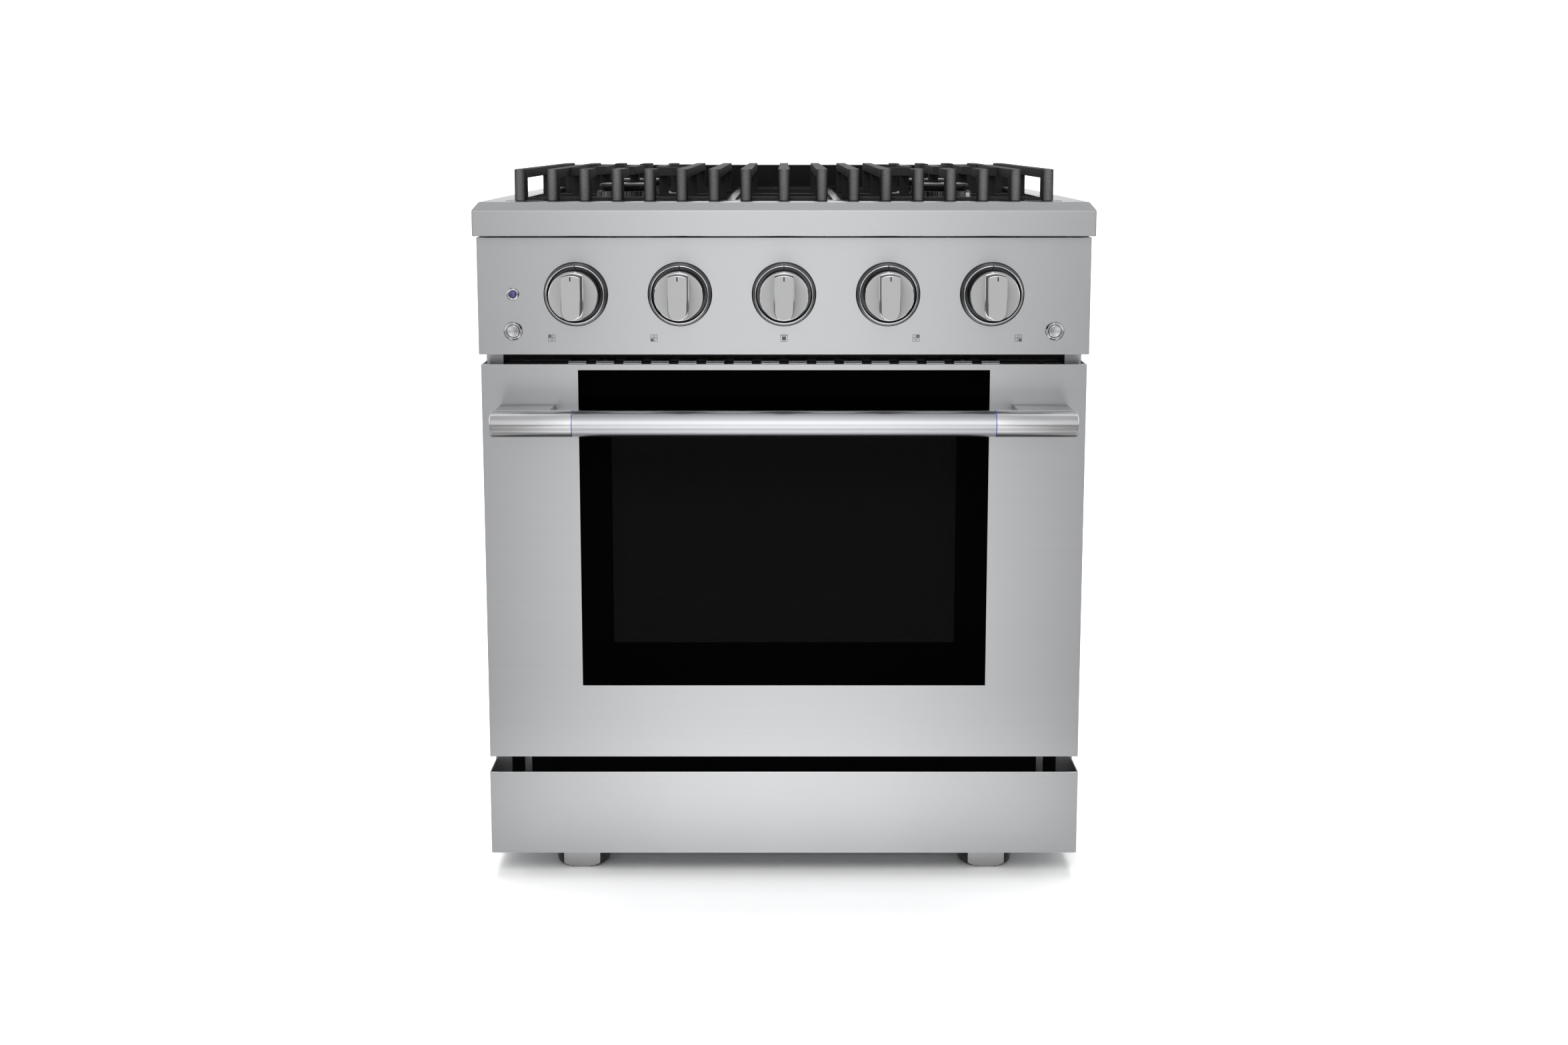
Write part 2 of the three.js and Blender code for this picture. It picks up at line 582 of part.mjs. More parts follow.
// ---------------------------------------------------------------- cooktop
function cooktopFrame() {
  const { front, bottom, top, bevel } = COOKTOP;
  const side = bevel * 0.75;
  const fromSide = outline([
    [front, bottom], [DEPTH, bottom], [DEPTH, top], [front + bevel, top], [front, top - bevel],
  ]);
  const fromFront = outline([
    [-HALF_WIDTH, bottom], [HALF_WIDTH, bottom], [HALF_WIDTH, top - bevel], [HALF_WIDTH - side, top],
    [side - HALF_WIDTH, top], [-HALF_WIDTH, top - bevel],
  ]);
  const outer = pushed(fromSide, 'yz', -HALF_WIDTH, HALF_WIDTH)
    .intersect(pushed(fromFront, 'xz', front, DEPTH));
  const hollow = box(
    -HALF_WIDTH + bevel, HALF_WIDTH - bevel, front + bevel, DEPTH - SHEET, bottom - 1, top - 4,
  );
  const opening = box(-PAN.half - GAP, PAN.half + GAP, PAN.front - GAP, TRIM.front - 6, bottom, top + 1);
  return cut(outer, hollow, opening);
}
place('cooktop_frame', cooktopFrame(), STEEL);

function burnerPan() {
  const { half, front, ledge, floor, rim } = PAN;
  const sheet = box(-half, half, front, TRIM.front - 6.3, floor - 2, rim);
  const well = (x0, x1) => box(x0, x1, ledge, TRIM.front - 16, floor, rim + 1);
  let made = cut(sheet, well(-half + 8, -71.5), well(-61.5, 61.5), well(71.5, half - 8));
  for (const [x, y] of burnerPlaces()) made = cut(made, rod('z', 22, floor - 4, floor + 1, x, y, 0, 20));
  return made;
}

function burnerPlaces() {
  return [
    [-BURNER.x, BURNER.frontY], [-BURNER.x, BURNER.rearY],
    [BURNER.x, BURNER.frontY], [BURNER.x, BURNER.rearY],
  ];
}
place('burner_pan', burnerPan(), ENAMEL);

const BURNER_NAMES = ['left_front', 'left_rear', 'right_front', 'right_rear'];
burnerPlaces().forEach(([x, y], i) => {
  const z = PAN.floor + GAP;
  place(`burner_base_${BURNER_NAMES[i]}`, turned([
    [0, z - 30], [20, z - 30], [20, z], [52, z], [52, z + 2.5], [41, z + 5], [39, z + 14], [0, z + 14],
  ], 'z', x, y, 0, 18), ALUMINIUM);
  const seat = z + 14 + GAP;
  place(`burner_cap_${BURNER_NAMES[i]}`, turned([
    [0, seat], [32, seat], [36, seat + 6], [34, seat + 9], [0, seat + 10],
  ], 'z', x, y, 0, 18), IRON);
});

// The low black trim along the back, with three exhaust slots in its top.
function rearTrim() {
  const { half, front, top } = TRIM;
  const section = outline([
    [-half, COOKTOP.top + GAP], [half, COOKTOP.top + GAP], [half, top - 3],
    [half - 6.5, top], [6.5 - half, top], [-half, top - 3],
  ]);
  let made = cut(
    pushed(section, 'xz', front, DEPTH),
    box(-half + 3, half - 3, front + 2, DEPTH - 2, COOKTOP.top - 1, top - 4),
  );
  for (const x of [-225, 0, 225]) {
    made = cut(made, box(x - 95, x + 95, front + 14, DEPTH - 16, top - 6, top + 1));
  }
  return made;
}
place('rear_trim', rearTrim(), ENAMEL);

// ---------------------------------------------------------------- grates
const BAR_UNDER = GRATE.top - GRATE.barHeight;
const CROSS = { z0: PAN.floor + GAP, z1: 876, depth: 12, midY: 278 };

// One stretch of bar along Y at x, in the wider front width or the narrower rear one.
function bar(x, from, to) {
  const parts = [];
  if (from < GRATE.stepY) {
    const end = Math.min(to, GRATE.stepY);
    parts.push(box(x - GRATE.width / 2, x + GRATE.width / 2, from, end, BAR_UNDER, GRATE.top));
  }
  if (to > GRATE.stepY) {
    const start = Math.max(from, GRATE.stepY - 1);
    parts.push(box(x - GRATE.rearWidth / 2, x + GRATE.rearWidth / 2, start, to, BAR_UNDER, GRATE.top));
  }
  return join(...parts);
}

// The front leg of a bar: rounded towards the cook.
function frontLeg(x) {
  const radius = GRATE.width / 2;
  const shape = new THREE.Shape();
  shape.moveTo(x + radius, GRATE.front + 25);
  shape.lineTo(x - radius, GRATE.front + 25);
  shape.lineTo(x - radius, GRATE.front + radius);
  shape.absarc(x, GRATE.front + radius, radius, Math.PI, Math.PI * 2);
  return pushed(shape, 'xy', PAN.rim + GAP, GRATE.top, 5);
}

function riser(x, y) {
  const half = GRATE.rearWidth / 2;
  return box(x - half, x + half, y - CROSS.depth / 2, y + CROSS.depth / 2, CROSS.z0, GRATE.top - 1);
}

// Everything that all three grates share: legs, risers and the three low cross bars.
function grateFrame(xs) {
  const rearY = GRATE.back - CROSS.depth / 2;
  const left = Math.min(...xs) - GRATE.rearWidth / 2;
  const right = Math.max(...xs) + GRATE.rearWidth / 2;
  const half = CROSS.depth / 2;
  const pieces = [
    box(left, right, GRATE.front + 13, GRATE.front + 25, PAN.rim + GAP, PAN.rim + 4),
    box(left, right, CROSS.midY - half, CROSS.midY + half, CROSS.z0, CROSS.z1),
    box(left, right, rearY - half, rearY + half, CROSS.z0, CROSS.z1),
  ];
  for (const x of xs) pieces.push(frontLeg(x), riser(x, CROSS.midY), riser(x, rearY));
  return join(...pieces);
}

// A grate over two burners: four full bars, three fingered ones, and a finger from each side.
function sideGrate(sign) {
  const { inner, pitch, count } = SIDE_BARS;
  const xs = Array.from({ length: count }, (_, i) => sign * (inner + i * pitch));
  const pieces = [grateFrame(xs)];
  xs.forEach((x, i) => {
    if (i < 2 || i > 4) {
      pieces.push(bar(x, GRATE.front + 7, GRATE.back));
      return;
    }
    const middle = i === 3;
    const mid = middle ? 78 : 63;
    const stub = middle ? 102 : 66;
    pieces.push(
      bar(x, GRATE.front + 7, GRATE.front + stub),
      bar(x, CROSS.midY - mid, CROSS.midY + mid),
      bar(x, GRATE.back - stub, GRATE.back),
    );
  });
  for (const y of [BURNER.frontY, BURNER.rearY]) {
    for (const [from, to] of [[xs[1], BURNER.x - 40], [xs[5], BURNER.x + 40]]) {
      const [x0, x1] = [from, sign * to].sort((a, b) => a - b);
      pieces.push(box(x0, x1, y - 7, y + 7, BAR_UNDER, GRATE.top));
    }
  }
  return join(...pieces);
}
for (const [side, sign] of SIDES) place(`grate_${side}`, sideGrate(sign), IRON);

const centreXs = [-CENTRE_BARS.pitch, 0, CENTRE_BARS.pitch];
place('grate_centre', join(
  grateFrame(centreXs), ...centreXs.map((x) => bar(x, GRATE.front + 7, GRATE.back)),
), IRON);

// The origin: the middle of the bounding box, on the floor.
const frontMost = HANDLE.y - HANDLE.radius - 0.3;
assembly.position.set(0, -(frontMost + DEPTH) / 2, 0);

export default range;
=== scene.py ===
"""Looks for the freestanding gas range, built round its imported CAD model. Metres, in the row frame."""

import math

import bmesh
import bpy
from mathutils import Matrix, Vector


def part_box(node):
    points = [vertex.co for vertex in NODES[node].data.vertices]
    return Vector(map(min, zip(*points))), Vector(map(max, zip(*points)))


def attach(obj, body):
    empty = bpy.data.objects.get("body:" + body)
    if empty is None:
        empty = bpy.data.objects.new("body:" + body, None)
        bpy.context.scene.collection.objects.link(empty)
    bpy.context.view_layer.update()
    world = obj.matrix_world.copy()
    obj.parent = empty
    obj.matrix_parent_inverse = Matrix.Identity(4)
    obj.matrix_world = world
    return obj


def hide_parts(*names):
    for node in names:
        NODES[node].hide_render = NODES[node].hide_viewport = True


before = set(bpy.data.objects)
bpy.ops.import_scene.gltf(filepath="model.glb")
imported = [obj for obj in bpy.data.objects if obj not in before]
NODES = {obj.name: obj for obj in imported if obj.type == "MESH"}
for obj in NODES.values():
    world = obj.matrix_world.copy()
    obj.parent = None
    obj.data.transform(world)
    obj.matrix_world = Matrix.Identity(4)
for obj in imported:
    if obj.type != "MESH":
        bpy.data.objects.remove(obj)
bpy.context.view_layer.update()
MM = 0.001

# ---------------------------------------------------------------- camera
DOOR_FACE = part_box("door_skin")[0].y
CAMERA = {"distance": 2.2256, "height": 0.954, "pitch": 8.014, "lens": 41.232, "shift": -0.085}


def make_camera():
    """Looks down a little. The photo's camera is level and shifted, which would cut off the other views."""
    data = bpy.data.cameras.new("camera")
    data.sensor_width = 36
    data.lens = CAMERA["lens"]
    data.shift_y = CAMERA["shift"]
    data.clip_start, data.clip_end = 0.05, 100
    camera = bpy.data.objects.new("camera", data)
    camera.location = (0, DOOR_FACE - CAMERA["distance"], CAMERA["height"])
    camera.rotation_euler = (math.radians(90 - CAMERA["pitch"]), 0, 0)
    bpy.context.scene.collection.objects.link(camera)
    bpy.context.scene.camera = camera


make_camera()


# ---------------------------------------------------------------- node graphs
class Graph:
    """Short ways to add shader nodes to one tree."""

    def __init__(self, tree):
        self.tree = tree

    def add(self, kind, inputs=None, **props):
        node = self.tree.nodes.new(kind)
        for key, value in props.items():
            setattr(node, key, value)
        for key, value in (inputs or {}).items():
            self.put(node.inputs[key], value)
        return node

    def put(self, socket, value):
        if isinstance(value, bpy.types.NodeSocket):
            self.tree.links.new(value, socket)
        else:
            socket.default_value = value

    def coords(self, scale=(1, 1, 1)):
        at = self.add("ShaderNodeTexCoord").outputs["Object"]
        return self.add("ShaderNodeMapping", {"Vector": at, "Scale": scale}).outputs["Vector"]

    def noise(self, scale, detail, rough=0.5):
        inputs = {"Vector": self.coords(scale), "Scale": 1.0, "Detail": detail, "Roughness": rough}
        return self.add("ShaderNodeTexNoise", inputs).outputs["Fac"]

    def voronoi(self, scale, out="Distance"):
        inputs = {"Vector": self.coords(scale), "Scale": 1.0}
        return self.add("ShaderNodeTexVoronoi", inputs).outputs[out]

    def ramp(self, fac, *stops):
        node = self.add("ShaderNodeValToRGB", {"Fac": fac})
        ends = node.color_ramp.elements
        while len(ends) < len(stops):
            ends.new(0.5)
        for end, (at, value) in zip(ends, stops):
            end.position = at
            end.color = (*value, 1) if hasattr(value, "__len__") else (value, value, value, 1)
        return node.outputs["Color"]

    def math(self, op, a, b=0.5):
        node = self.add("ShaderNodeMath", operation=op)
        self.put(node.inputs[0], a)
        self.put(node.inputs[1], b)
        return node.outputs[0]

    def mix(self, fac, a, b, blend="MIX"):
        node = self.add("ShaderNodeMix", data_type="RGBA", blend_type=blend)
        for socket, value in zip((node.inputs[0], node.inputs[6], node.inputs[7]), (fac, a, b)):
            self.put(socket, (*value, 1) if isinstance(value, tuple) and len(value) == 3 else value)
        return node.outputs[2]

    def bump(self, height, strength, distance):
        inputs = {"Height": height, "Strength": strength, "Distance": distance}
        return self.add("ShaderNodeBump", inputs).outputs["Normal"]

    def axes(self, vector):
        return self.add("ShaderNodeSeparateXYZ", {"Vector": vector}).outputs


def material(name, paint, **sockets):
    """A Principled material. sockets are constants, and paint(graph) gives the linked ones."""
    made = bpy.data.materials.new(name)
    made.use_nodes = True
    graph = Graph(made.node_tree)
    shader = made.node_tree.nodes["Principled BSDF"]
    names = {"metal": "Metallic", "coat": "Coat Weight", "specular": "Specular IOR Level",
             "aniso": "Anisotropic", "turn": "Anisotropic Rotation"}
    for key, value in sockets.items():
        shader.inputs[names[key]].default_value = value
    for key, value in paint(graph).items():
        graph.put(shader.inputs[key], value)
    return made


def painted_tilt_shade(stops):
    """Painted shade and reflection: a factor by the height of the surface's normal, from 0 straight down to 1
    straight up.
    """
    def factor(g):
        up = g.axes(g.add("ShaderNodeTexCoord").outputs["Normal"])[2]
        return g.ramp(g.math("ADD", g.math("MULTIPLY", up, 0.5), 0.5), *stops)
    return factor


def brushed(name, grain, tone, rough, metal=1.0, depth=0.03, aniso=0.0, axis="Z", dim=None):
    """Metal with brush marks: grain is the pattern's frequency per metre along x, y and z."""
    def paint(g):
        fine = g.noise(grain, 2.0)
        broad = g.noise(tuple(s * 0.14 for s in grain), 2.0)
        marks = g.math("ADD", g.math("MULTIPLY", fine, 0.6), g.math("MULTIPLY", broad, 0.4))
        low, high = (tuple(c * k for c in tone) for k in (0.985, 1.012))
        smudge = g.noise((5, 5, 5), 3.0)
        spread = g.ramp(marks, (0.3, rough * 0.96), (0.7, rough * 1.04))
        given = {
            "Base Color": g.ramp(marks, (0.32, low), (0.68, high)),
            "Roughness": g.math("ADD", spread, g.math("MULTIPLY", smudge, 0.05)),
            "Normal": g.bump(fine, depth, 0.0001),
        }
        # dim, when given, multiplies painted shade and reflection onto the colour
        if dim:
            given["Base Color"] = g.mix(1.0, given["Base Color"], dim(g), "MULTIPLY")
        if aniso:
            given["Tangent"] = g.add("ShaderNodeTangent", direction_type="RADIAL", axis=axis).outputs[0]
        return given
    return material(name, paint, metal=metal, **({"aniso": aniso, "turn": 0.25} if aniso else {}))


def polished(name, tone, rough, wear=0.05, dim=None):
    """Plated or polished metal with faint wipe marks."""
    def paint(g):
        wipe = g.noise((18, 18, 60), 4.0, 0.6)
        dust = g.noise((900, 900, 900), 2.0)
        colour = g.ramp(wipe, (0.3, tuple(c * 0.94 for c in tone)), (0.7, tone))
        # dim, when given, multiplies painted shade and reflection onto the colour
        return {
            "Base Color": g.mix(1.0, colour, dim(g), "MULTIPLY") if dim else colour,
            "Roughness": g.ramp(wipe, (0.35, rough), (0.75, rough + wear)),
            "Normal": g.bump(dust, 0.02, 0.0001),
        }
    return material(name, paint, metal=1.0)


def foot_shade(g):
    """Painted reflection bands and shade: darker on a foot's rounded sides than on its flats, and darkest on
    the chamfer below.
    """
    _, along, up = g.axes(g.add("ShaderNodeTexCoord").outputs["Normal"])[:3]
    flat = g.ramp(g.math("ABSOLUTE", along, 0), (0.0, 0.45), (0.35, 0.4), (0.7, 0.12), (0.78, 0.85))
    return g.mix(1.0, flat, g.ramp(g.math("ABSOLUTE", up, 0), (0.15, 1.0), (0.4, 0.3)), "MULTIPLY")


def grained(name, tones, rough, scale, strength, distance, metal=0.0, **more):
    """A cast, moulded or enamelled surface: grain at scale per metre and broader patches."""
    def paint(g):
        grain = g.noise((scale, scale, scale), 3.0, 0.65)
        patch = g.noise((9, 9, 9), 3.0)
        both = g.math("ADD", g.math("MULTIPLY", grain, 0.65), g.math("MULTIPLY", patch, 0.35))
        return {
            "Base Color": g.ramp(both, (0.3, tones[0]), (0.7, tones[1])),
            "Roughness": g.ramp(both, (0.3, rough[0]), (0.7, rough[1])),
            "Normal": g.bump(grain, strength, distance),
        }
    return material(name, paint, metal=metal, **more)


NOSE = 8  # how far back the round noses of the grates' bars reach, in mm, where the painted highlight is strongest


def cast_iron(g):
    """Sand-cast iron under matt black, with a painted highlight: greyer on what faces forward, most of all on
    the bars' round noses.
    """
    grain = g.noise((1300, 1300, 1300), 3.0, 0.65)
    patch = g.noise((9, 9, 9), 3.0)
    both = g.math("ADD", g.math("MULTIPLY", grain, 0.75), g.math("MULTIPLY", patch, 0.25))
    # facing, nose, share and front shape a painted highlight, strongest on the forward faces of the round
    # noses
    facing = g.math("MULTIPLY", g.axes(g.add("ShaderNodeTexCoord").outputs["Normal"])[1], -1)
    nose = g.math("LESS_THAN", g.axes(g.coords())[1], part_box("grate_left")[0].y + NOSE * MM)
    share = g.math("ADD", g.math("MULTIPLY", nose, 0.85), 0.15)
    front = g.math("MULTIPLY", g.math("POWER", g.math("MAXIMUM", facing, 0.0), 3.0), share)
    black = g.ramp(both, (0.3, 0.003), (0.7, 0.015))
    # grey is the painted highlight's tone
    grey = g.ramp(both, (0.35, (0.08, 0.08, 0.0805)), (0.65, (0.3, 0.3, 0.302)))
    return {
        "Base Color": g.mix(front, black, grey),
        "Roughness": g.ramp(both, (0.3, 0.42), (0.7, 0.62)),
        "Normal": g.bump(grain, 0.8, 0.0009),
    }


def speckled_enamel(g):
    """Oven porcelain: near-black with small pale flecks."""
    fleck = g.voronoi((260, 260, 260))
    peel = g.noise((140, 140, 140), 2.0)
    return {
        "Base Color": g.ramp(fleck, (0.0, (0.16, 0.17, 0.19)), (0.1, (0.016, 0.017, 0.021))),
        "Roughness": g.ramp(peel, (0.3, 0.2), (0.7, 0.32)),
        "Normal": g.bump(peel, 0.08, 0.0006),
    }


def spangle(g):
    """Zinc-coated sheet: crystals of slightly different greys."""
    cell = g.axes(g.voronoi((120, 120, 120), out="Color"))[0]
    fine = g.noise((700, 700, 700), 2.0)
    return {
        "Base Color": g.ramp(cell, (0.0, (0.44, 0.455, 0.47)), (1.0, (0.53, 0.545, 0.56))),
        "Roughness": g.ramp(cell, (0.0, 0.4), (1.0, 0.52)),
        "Normal": g.bump(fine, 0.06, 0.0002),
    }


def braid(g):
    """Woven glass-fibre seal: two sets of slanting strands."""
    x, y, z = g.axes(g.coords((620, 620, 620)))[:3]
    along = g.math("ADD", x, z)
    one = g.math("SINE", g.math("ADD", along, g.math("MULTIPLY", y, 1.4)))
    two = g.math("SINE", g.math("SUBTRACT", along, g.math("MULTIPLY", y, 1.4)))
    weave = g.math("ADD", g.math("MULTIPLY", g.math("MAXIMUM", one, two), 0.5), 0.5)
    return {
        "Base Color": g.ramp(weave, (0.2, (0.018, 0.018, 0.017)), (0.9, (0.1, 0.1, 0.096))),
        "Roughness": g.ramp(weave, (0.0, 0.95), (1.0, 0.8)),
        "Normal": g.bump(weave, 0.5, 0.0006),
    }


def door_glass(name, clear):
    """Tinted glass. clear is (half width, bottom, top) of the see-through window in a black border."""
    def paint(g):
        x, _, z = g.axes(g.coords())[:3]
        half, bottom, top = clear
        wide = g.math("LESS_THAN", g.math("ABSOLUTE", x, 0), half)
        tall = g.math("MULTIPLY", g.math("GREATER_THAN", z, bottom), g.math("LESS_THAN", z, top))
        window = g.math("MULTIPLY", wide, tall)
        smear = g.noise((7, 7, 7), 3.0)
        return {
            "Base Color": g.mix(window, (0.0002, 0.0002, 0.00025), (0.0062, 0.0062, 0.0064)),
            "Alpha": g.math("SUBTRACT", 1.0, g.math("MULTIPLY", window, 0.2)),
            "Roughness": g.ramp(smear, (0.3, 0.02), (0.8, 0.05)),
        }
    return material(name, paint, specular=0.012)


HORIZONTAL = (5, 1300, 1300)
STEEL = brushed("brushed_steel", HORIZONTAL, (0.64, 0.645, 0.655), 0.27, aniso=0.45)
STEEL_SIDE = brushed("brushed_steel_side", (1300, 5, 1300), (0.64, 0.645, 0.655), 0.27, aniso=0.45)
# the handle bar carries painted shade and reflection: darker facing down, a little darker facing up
SATIN = brushed("satin_bar_painted_shade", HORIZONTAL, (0.79, 0.8, 0.83), 0.22, depth=0.04,
                dim=painted_tilt_shade(((0.04, 0.5), (0.32, 0.78), (0.46, 1.0), (0.62, 1.0), (0.85, 0.76))))
KNOB_METAL = brushed("satin_knob", (1300, 60, 6), (0.6, 0.6, 0.602), 0.38, metal=0.4, depth=0.04)
SHEET_EDGE = polished("sheet_edge", (0.92, 0.92, 0.925), 0.12)
# the knobs' sides: satin steel painted dark as shade
KNOB_SHADE = polished("knob_painted_shade", (0.12, 0.12, 0.122), 0.42)
CHROME = polished("polished_chrome", (0.9, 0.9, 0.91), 0.06)
# the handle's end caps carry painted shade and reflection, darkest on what faces down
CAP_CHROME = polished("cap_chrome_painted_shade", (0.96, 0.96, 0.97), 0.17,
                      dim=painted_tilt_shade(((0.0, 0.02), (0.1, 0.06), (0.19, 0.45), (0.3, 0.9), (0.46, 1.0))))
# the feet carry painted reflection bands and shade
FOOT_CHROME = polished("foot_chrome_painted_shade", (0.86, 0.86, 0.87), 0.06, dim=foot_shade)
SLAT = polished("vent_slat", (0.5, 0.5, 0.505), 0.25)
# the handle's posts: chrome painted dark as shade
POST_SHADE = polished("post_painted_shade", (0.2, 0.2, 0.205), 0.16)
DARK_CHROME = polished("dark_chrome", (0.11, 0.11, 0.114), 0.12, 0.06)
RACK_CHROME = polished("rack_chrome", (0.6, 0.6, 0.61), 0.2, 0.1)
SPUN = brushed("spun_button", (240, 240, 240), (0.78, 0.78, 0.79), 0.2, depth=0.02, aniso=0.85, axis="Y")
ZINC = material("galvanised", spangle, metal=1.0)
ALUMINISED = brushed("aluminised", (60, 60, 60), (0.6, 0.6, 0.6), 0.42)
CAST_ALUMINIUM = grained("cast_aluminium", ((0.1, 0.1, 0.1), (0.17, 0.17, 0.17)), (0.2, 0.34),
                         900, 0.25, 0.0004, metal=1.0)
# the grates' iron carries a painted highlight on what faces forward
IRON = material("cast_iron", cast_iron, specular=0.3)
CAP_IRON = grained("cap_enamel", ((0.006, 0.006, 0.0065), (0.015, 0.015, 0.016)), (0.25, 0.42),
                   1500, 0.25, 0.0004)
ENAMEL = grained("black_enamel", ((0.004, 0.004, 0.0045), (0.008, 0.008, 0.009)), (0.1, 0.2),
                 160, 0.06, 0.0006, specular=0.3)
TRIM_BLACK = grained("satin_black", ((0.003, 0.003, 0.0032), (0.007, 0.007, 0.007)), (0.34, 0.5),
                     1100, 0.15, 0.0003, specular=0.2)
OVEN = material("oven_porcelain", speckled_enamel, coat=0.3)
GASKET = material("gasket_braid", braid)
DARK = grained("blackened_screw", ((0.006, 0.006, 0.006), (0.016, 0.016, 0.016)), (0.3, 0.5),
               700, 0.2, 0.0002)
INK = grained("printed_ink", ((0.13, 0.13, 0.135), (0.19, 0.19, 0.195)), (0.5, 0.65), 2400, 0.1, 0.0001)
SEAM = grained("seam_blue", ((0.03, 0.07, 0.42), (0.06, 0.12, 0.55)), (0.25, 0.4), 1800, 0.05, 0.0001)
CERAMIC = grained("igniter_ceramic", ((0.72, 0.7, 0.66), (0.82, 0.8, 0.77)), (0.3, 0.45), 900, 0.1, 0.0002)
LENS = grained("lamp_lens", ((0.045, 0.04, 0.16), (0.12, 0.11, 0.32)), (0.06, 0.12), 260, 0.05, 0.0003,
               coat=1.0)
BULB_GLASS = grained("bulb_glass", ((0.5, 0.5, 0.46), (0.7, 0.7, 0.66)), (0.1, 0.2), 400, 0.1, 0.0003,
                     coat=1.0)

inner_low, inner_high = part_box("door_glass_inner")
CLEAR = (inner_high.x, inner_low.z, inner_high.z)
ALL_CLEAR = (1, 0, 2)  # past the glass on every side
GLASS_OUTER = door_glass("door_glass", CLEAR)
GLASS_INNER = door_glass("door_glass_inner", ALL_CLEAR)


# ---------------------------------------------------------------- CAD nodes that stay
def finish_node(node, look, bevel, edge_look=None):
    """Gives a CAD node its material and, where bevel is given, softened edges, which may look different."""
    o = NODES[node]
    o.data.materials.clear()
    o.data.materials.append(look)
    custom = o.data.attributes.get("custom_normal")
    if custom:
        o.data.attributes.remove(custom)
    for polygon in o.data.polygons:
        polygon.use_smooth = bool(bevel)
    if bevel:
        weld = o.modifiers.new("weld", "WELD")
        weld.merge_threshold = 0.00001
        flat = o.modifiers.new("flat", "DECIMATE")
        flat.decimate_type = "DISSOLVE"
        flat.angle_limit = math.radians(1)
        edge = o.modifiers.new("edge", "BEVEL")
        edge.width = bevel * MM
        edge.segments = 2
        edge.limit_method = "ANGLE"
        edge.angle_limit = math.radians(35)
        edge.harden_normals = True
        if edge_look:
            o.data.materials.append(edge_look)
            edge.material = 1


for name in ("door_skin", "kick_panel", "control_panel"):
    finish_node(name, STEEL, 0.75, SHEET_EDGE)
for names, look, bevel in (
    (("cooktop_frame",), STEEL, 1.2),
    (("side_panel_left", "side_panel_right"), STEEL_SIDE, 0.5),
    (("front_frame", "burner_pan"), ENAMEL, 0.6),
    (("rear_trim",), TRIM_BLACK, 0.8),
    (("base_chassis", "back_panel", "door_hinge_left", "door_hinge_right", "gas_manifold"), ZINC, 0.4),
    (("grate_left", "grate_centre", "grate_right"), IRON, 1.4),
    (("oven_liner", "oven_floor", "door_inner_pan"), OVEN, 0.7),
    (("broil_burner", "bake_burner", "convection_fan"), ALUMINISED, 0.4),
    (("fan_cover",), OVEN, 0.4),
    (("door_gasket",), GASKET, 1.2),
    (("door_glass_outer",), GLASS_OUTER, 0.0),
    (("door_glass_inner",), GLASS_INNER, 0.0),
    (("oven_lamp",), BULB_GLASS, 0.4),
):
    for name in names:
        finish_node(name, look, bevel)


# ---------------------------------------------------------------- pieces built here
SHARP = 0.6  # radians between faces, from which an edge is bevelled


